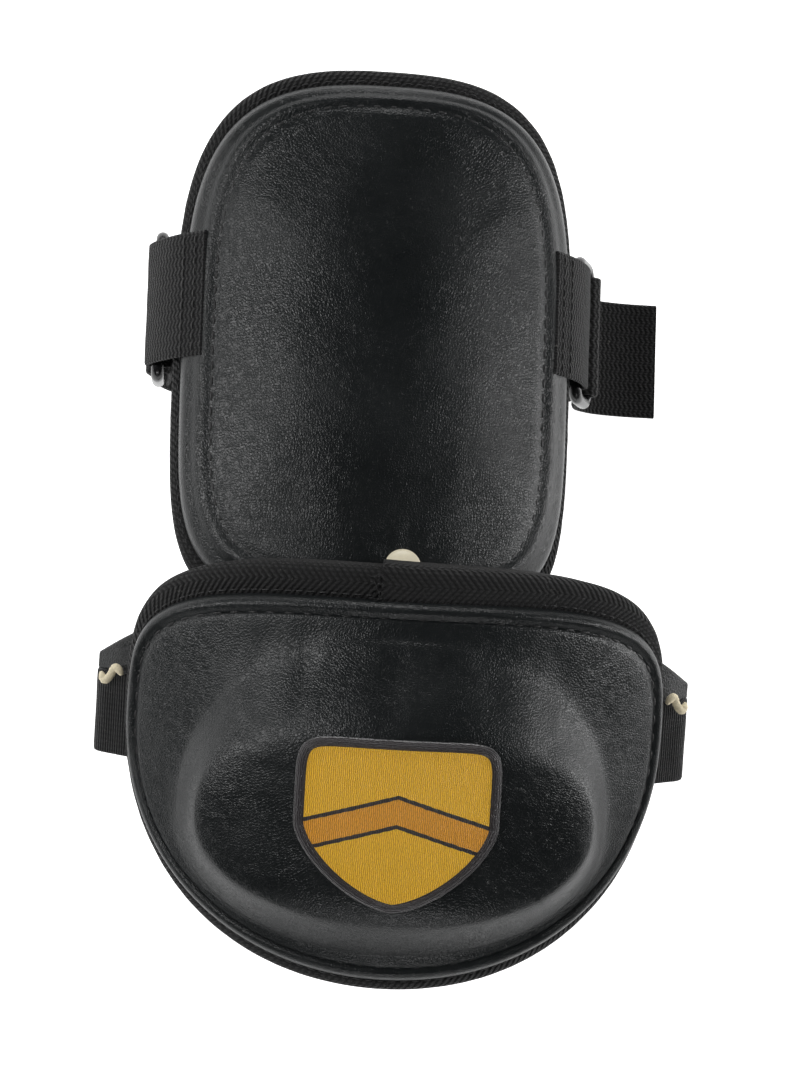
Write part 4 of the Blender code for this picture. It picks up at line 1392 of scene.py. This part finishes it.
def ring_path(side):
    points = []
    centres = [(RING_REACH - RING_CORNER, RING_LENGTH / 2 - RING_CORNER, 0),
               (RING_CORNER, RING_LENGTH / 2 - RING_CORNER, 90),
               (RING_CORNER, -RING_LENGTH / 2 + RING_CORNER, 180),
               (RING_REACH - RING_CORNER, -RING_LENGTH / 2 + RING_CORNER, 270)]
    for x, y, start in centres:
        for step in range(9):
            angle = math.radians(start + 90 * step / 8)
            reach = x + RING_CORNER * math.cos(angle)
            points.append(ORIGIN + Vector((side * (RING_X + reach * math.cos(RING_HANG[side])),
                                           STRAP_Y + y + RING_CORNER * math.sin(angle),
                                           RING_Z - reach * math.sin(RING_HANG[side]))))
    return points


def side_tab_path(side):
    turn = WRAP + TAB_T / 2
    rim_arc = ARM_HALF_ARC - ARM_COVER_INSET - 9.5 * MM
    under = -GAP - TAPE_CLEAR - TAPE_T - TAB_T * 0.5
    flat = [(rim_arc, ARM_FACE + GAP + TAB_T / 2),
            (ARM_HALF_ARC - ARM_COVER_INSET + 0.5 * MM, ARM_STACK + 5.6 * MM),
            (ARM_HALF_ARC + 4.4 * MM, ARM_STACK + 2.6 * MM)]
    points = [on_arm(arc, 0, depth) - ORIGIN for arc, depth in flat]
    for degrees in (20, -30, -80, -130):
        angle = math.radians(degrees)
        points.append(Vector((RING_X + turn * math.cos(angle), 0, RING_Z + turn * math.sin(angle))))
    points += [on_arm(ARM_HALF_ARC + 0.6 * MM, 0, under) - ORIGIN,
               on_arm(ARM_HALF_ARC - 12 * MM, 0, under) - ORIGIN]
    return smooth_path([ORIGIN + Vector((side * p.x, STRAP_Y, p.z)) for p in points], 8)


def make_side(side, word):
    ring = tube(word + "_ring_bar", ring_path(side), RING_BAR_R, RING, 20, True)
    ride(ring, word + "_ring_body", "ring", word + "_ring")
    path = even_path(side_tab_path(side), 1.2 * MM)
    tab = strap(word + "_tab_webbing", path, (0, 1, 0), STRAP_WIDTH, TAB_T, WEBBING)
    ride(tab, "arm_guard", "tape", word + "_tab")
    spots = []
    ways = tangents(path)
    for row in (3, 7):
        up = ways[row].cross(Vector((0, 1, 0))) * -side
        up = up if up.z > 0 else -up
        for k in range(11):
            across = Vector((0, (k - 5) * 3.3 * MM, 0))
            spots.append((path[row] + across + up * TAB_T / 2, Vector((0, 1, 0)), up))
    stitches = seam(word + "_tab_stitches", spots, TAPE_STITCH, TAPE_STITCH_R, THREAD)
    ride(stitches, "arm_guard", "thread")


make_side(-1, "left")
make_side(1, "right")
print("rings and tabs made")

# %% [markdown]
# ## The arm strap
# One length of webbing goes from the left ring, under the arm and up to the right ring, where it
# turns back on itself and closes on hook and loop. It is modelled in two halves that meet on the
# floor.

# %% Arm strap


def ring_end(side):
    hang = RING_HANG[side]
    return ORIGIN + Vector((side * (RING_X + RING_REACH * math.cos(hang)), STRAP_Y,
                            RING_Z - RING_REACH * math.sin(hang)))


def roll(centre, side, start, stop, steps):
    turn = WRAP + STRAP_T / 2
    points = []
    for step in range(steps + 1):
        angle = math.radians(start + (stop - start) * step / steps)
        points.append(centre + Vector((side * turn * math.cos(angle), 0, turn * math.sin(angle))))
    return points


PATCH_T = 1.2 * MM
OUTER_RUN = WRAP + STRAP_T / 2 - 2.2 * MM
HOOK_RUN = OUTER_RUN - STRAP_T / 2 - GAP - PATCH_T / 2
LOOP_RUN = HOOK_RUN - PATCH_T - GAP
MAIN_RUN = LOOP_RUN - PATCH_T / 2 - GAP - STRAP_T / 2
PATCH_TOP = ring_end(1).z - 8 * MM
PATCH_LOW = PATCH_TOP - 15 * MM


def lay_on_floor(path):
    for point in path:
        point.z = max(point.z, STRAP_T / 2)
    return even_path(path, 1.3 * MM)


def make_arm_strap():
    left, right = ring_end(-1), ring_end(1)
    floor, middle = STRAP_T / 2, ORIGIN.x

    def spot(x, z):
        return Vector((x, left.y, z))

    points = [spot(left.x + 4.1 * MM, left.z - 22 * MM), spot(left.x + 4 * MM, left.z - 10 * MM)]
    points += roll(left, -1, 180, 0, 4)
    points += [spot(left.x - 0.6 * MM, left.z - 10 * MM), spot(left.x + 1.2 * MM, left.z - 22 * MM),
               spot(left.x + 8 * MM, 14 * MM), spot(left.x + 22 * MM, 3.2 * MM),
               spot(middle - 25 * MM, floor), spot(middle, floor)]
    path = lay_on_floor(smooth_path(points, 8))
    half = strap("arm_strap_left", path, (0, 1, 0), STRAP_WIDTH, STRAP_T, WEBBING)
    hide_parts("arm_strap")
    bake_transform(half)
    points = [spot(middle, floor), spot(middle + 25 * MM, floor),
              spot(right.x - 24 * MM, 3.2 * MM), spot(right.x - 9 * MM, 13 * MM),
              spot(right.x + MAIN_RUN, PATCH_LOW), spot(right.x + MAIN_RUN, PATCH_TOP)]
    points += roll(right, 1, 180, 0, 4)
    points += [spot(right.x + OUTER_RUN, PATCH_TOP), spot(right.x + OUTER_RUN, PATCH_LOW)]
    path = lay_on_floor(smooth_path(points, 8))
    half = strap("arm_strap_right", path, (0, 1, 0), STRAP_WIDTH, STRAP_T, WEBBING)
    bend_right(half)
    for name, run in (("loop_patch", LOOP_RUN), ("hook_patch", HOOK_RUN)):
        line = even_path([spot(right.x + run, PATCH_TOP - 1 * MM), spot(right.x + run, PATCH_LOW + 1 * MM)],
                         1.2 * MM)
        patch = strap(name + "_pile", line, (0, 1, 0), STRAP_WIDTH - 3 * MM, PATCH_T, HOOK, wave=0.1 * MM)
        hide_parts(name)
        bend_right(patch)


def bend_right(obj):
    """Writes the piece's placement into its own points."""
    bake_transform(obj)


def make_tail():
    right = ring_end(1)
    start = Vector((right.x + OUTER_RUN + 0.1 * MM, right.y, PATCH_LOW - 0.9 * MM))
    steps = ((0, 0), (2.2, -6), (9, -12), (19, -15), (30, -15.5))
    path = even_path(smooth_path([start + Vector((x * MM, 0, z * MM)) for x, z in steps], 8), 1.2 * MM)
    tail = strap("strap_tail_webbing", path, (0, 1, 0), STRAP_WIDTH, STRAP_T, WEBBING)
    ride(tail, "tail", "tape", "strap_tail")


make_arm_strap()
make_tail()
print("arm strap made in two halves, with its closure and tail")

# %% [markdown]
# ## Link tab and elbow strap
# The leather link tab runs from the rivet, under the pad's edge and up behind the cup. The elbow
# strap is ribbed elastic, sewn into the cup's side seams, with a smooth leather gusset above it and a
# cream cord lashed through the ear.

# %% Link and elastic
LINK_WIDTH = 24 * MM
ELASTIC_WIDTH = 25 * MM
ELASTIC_T = 1.5 * MM
LINK_LEVEL = (ARM_APEX_Z - ARM_RADIUS + math.sqrt(ARM_RADIUS ** 2 - (LINK_WIDTH / 2 + RIVET_X) ** 2)
              - GAP - TAPE_CLEAR - TAPE_T - TAB_T / 2)
EAR_Y = -4 * MM
EAR_REACH = 12.5 * MM
GUSSET_WIDTH = 13 * MM
TACK_LENGTH = 8 * MM
TACK_R = 1.25 * MM


def under_cup(along, slack):
    sag = CUP_RADIUS - math.sqrt(CUP_RADIUS ** 2 - (LINK_WIDTH / 2) ** 2)
    return CUP_FRAME @ Vector((0, CUP_TOP - along, -sag - GAP - slack - TAB_T / 2))


def make_link():
    edge = -ARM_HALF_LENGTH
    near = [(RIVET_Y + 12 * MM, 0), (edge - 1 * MM, 0), (edge - 6.5 * MM, 2.4), (edge - 9.5 * MM, 7.5)]
    points = [ORIGIN + Vector((RIVET_X, y, LINK_LEVEL + z * MM)) for y, z in near]
    points += [under_cup(29 * MM, 1.6 * MM), under_cup(37 * MM, 0.3 * MM), under_cup(55 * MM, 0.3 * MM)]
    path = even_path(smooth_path(points, 8), 1.2 * MM)
    lean = CUP_TURN.to_3x3() @ Vector((1, 0, 0))
    across = []
    for point in path:
        share = min(max((ORIGIN.y + edge - 2 * MM - point.y) / (12 * MM), 0), 1)
        across.append(Vector((1, 0, 0)).lerp(lean, share))
    link = strap("link_leather", path, across, LINK_WIDTH, TAB_T, COAT_SOFT)
    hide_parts("link_tab")
    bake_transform(link)


def ear_points(side, along):
    """The elastic's way out of the cup's side seam."""
    angle = CUP_HALF_ARC / CUP_REF
    outward = Vector((math.cos(angle), 0, -math.sin(angle)))
    radius = CUP_RADIUS + CUP_STACK * 0.55
    edge = Vector((radius * math.sin(angle), along, -CUP_RADIUS + radius * math.cos(angle)))
    local = [edge + outward * 2.6 * MM, edge + outward * 0.7 * EAR_REACH + Vector((0, 0, 0.8 * MM)),
             edge + Vector((EAR_REACH, 0, -11 * MM)), edge + Vector((0.85 * EAR_REACH, 0, -22 * MM))]
    placed = [CUP_FRAME @ Vector((side * p.x, p.y, p.z)) for p in local]
    return placed, CUP_TURN.to_3x3() @ Vector((0, 1, 0))


def make_elastic():
    right, tilt = ear_points(1, EAR_Y)
    left = ear_points(-1, EAR_Y)[0]
    middle = ORIGIN.y - 108 * MM
    floor = ELASTIC_T / 2
    drop = [(78, 32), (58, 7.5), (30, 0.75), (25, 0.75)]
    side_right, side_left = [], []
    for k, (x, z) in enumerate(drop):
        y = (right[3].y + middle) / 2 if k == 0 else middle
        side_right.append(Vector((ORIGIN.x + RIVET_X + x * MM, y, z * MM)))
        side_left.append(Vector((ORIGIN.x + RIVET_X - x * MM, y, z * MM)))
    points = right + side_right + side_left[::-1] + left[::-1]
    path = smooth_path(points, 8)
    for point in path:
        point.z = max(point.z, floor)
    path = even_path(path, 1.2 * MM)
    across = []
    for point in path:
        flat = min(max((60 * MM - point.z) / (50 * MM), 0), 1)
        across.append(tilt.lerp(Vector((0, 1, 0)), flat))
    elastic = strap("elbow_elastic", path, across, ELASTIC_WIDTH, ELASTIC_T, ELASTIC)
    ride(elastic, "elbow_cup", "tape", "elbow_strap")


def make_ear(side, word):
    ear, tilt = ear_points(side, EAR_Y + ELASTIC_WIDTH / 2 + GAP + 6.5 * MM)
    path = even_path(smooth_path(ear[:3], 8), 1.0 * MM)
    last = len(path) - 1
    path = [p - tilt * GUSSET_WIDTH * 0.3 * k / last for k, p in enumerate(path)]
    gusset = strap(word + "_gusset_leather", path, tilt, GUSSET_WIDTH, ELASTIC_T, COAT_SOFT,
                   taper=lambda t: 1 - 0.6 * t)
    ride(gusset, "elbow_cup", "leather", word + "_gusset")
    ear, tilt = ear_points(side, EAR_Y + ELASTIC_WIDTH / 2)
    along = (ear[1] - ear[0]).normalized()
    out = along.cross(tilt) * side
    out = -out if out.z < 0 else out
    centre = ear[1] + along * 0.4 * MM + out * (ELASTIC_T / 2 + 2.4 * MM)
    points = []
    for step in range(25):
        t = step / 24
        wave = math.sin(2 * math.pi * t)
        points.append(centre + along * (t - 0.5) * TACK_LENGTH + tilt * wave * 2.2 * MM
                      + out * 0.6 * MM * abs(wave))
    tack = tube(word + "_tack_cord", points, tack_radius, CORD, 14)
    ride(tack, "elbow_cup", "cord", word + "_tack")


def tack_radius(t):
    """The cord swells between its twists and narrows at both ends."""
    return TACK_R * (0.86 + 0.14 * abs(math.sin(t * 34))) * min(1, 0.45 + 6 * min(t, 1 - t))


make_link()
make_elastic()
make_ear(-1, "left")
make_ear(1, "right")
print("link tab, elastic, gussets and cord tacks made")
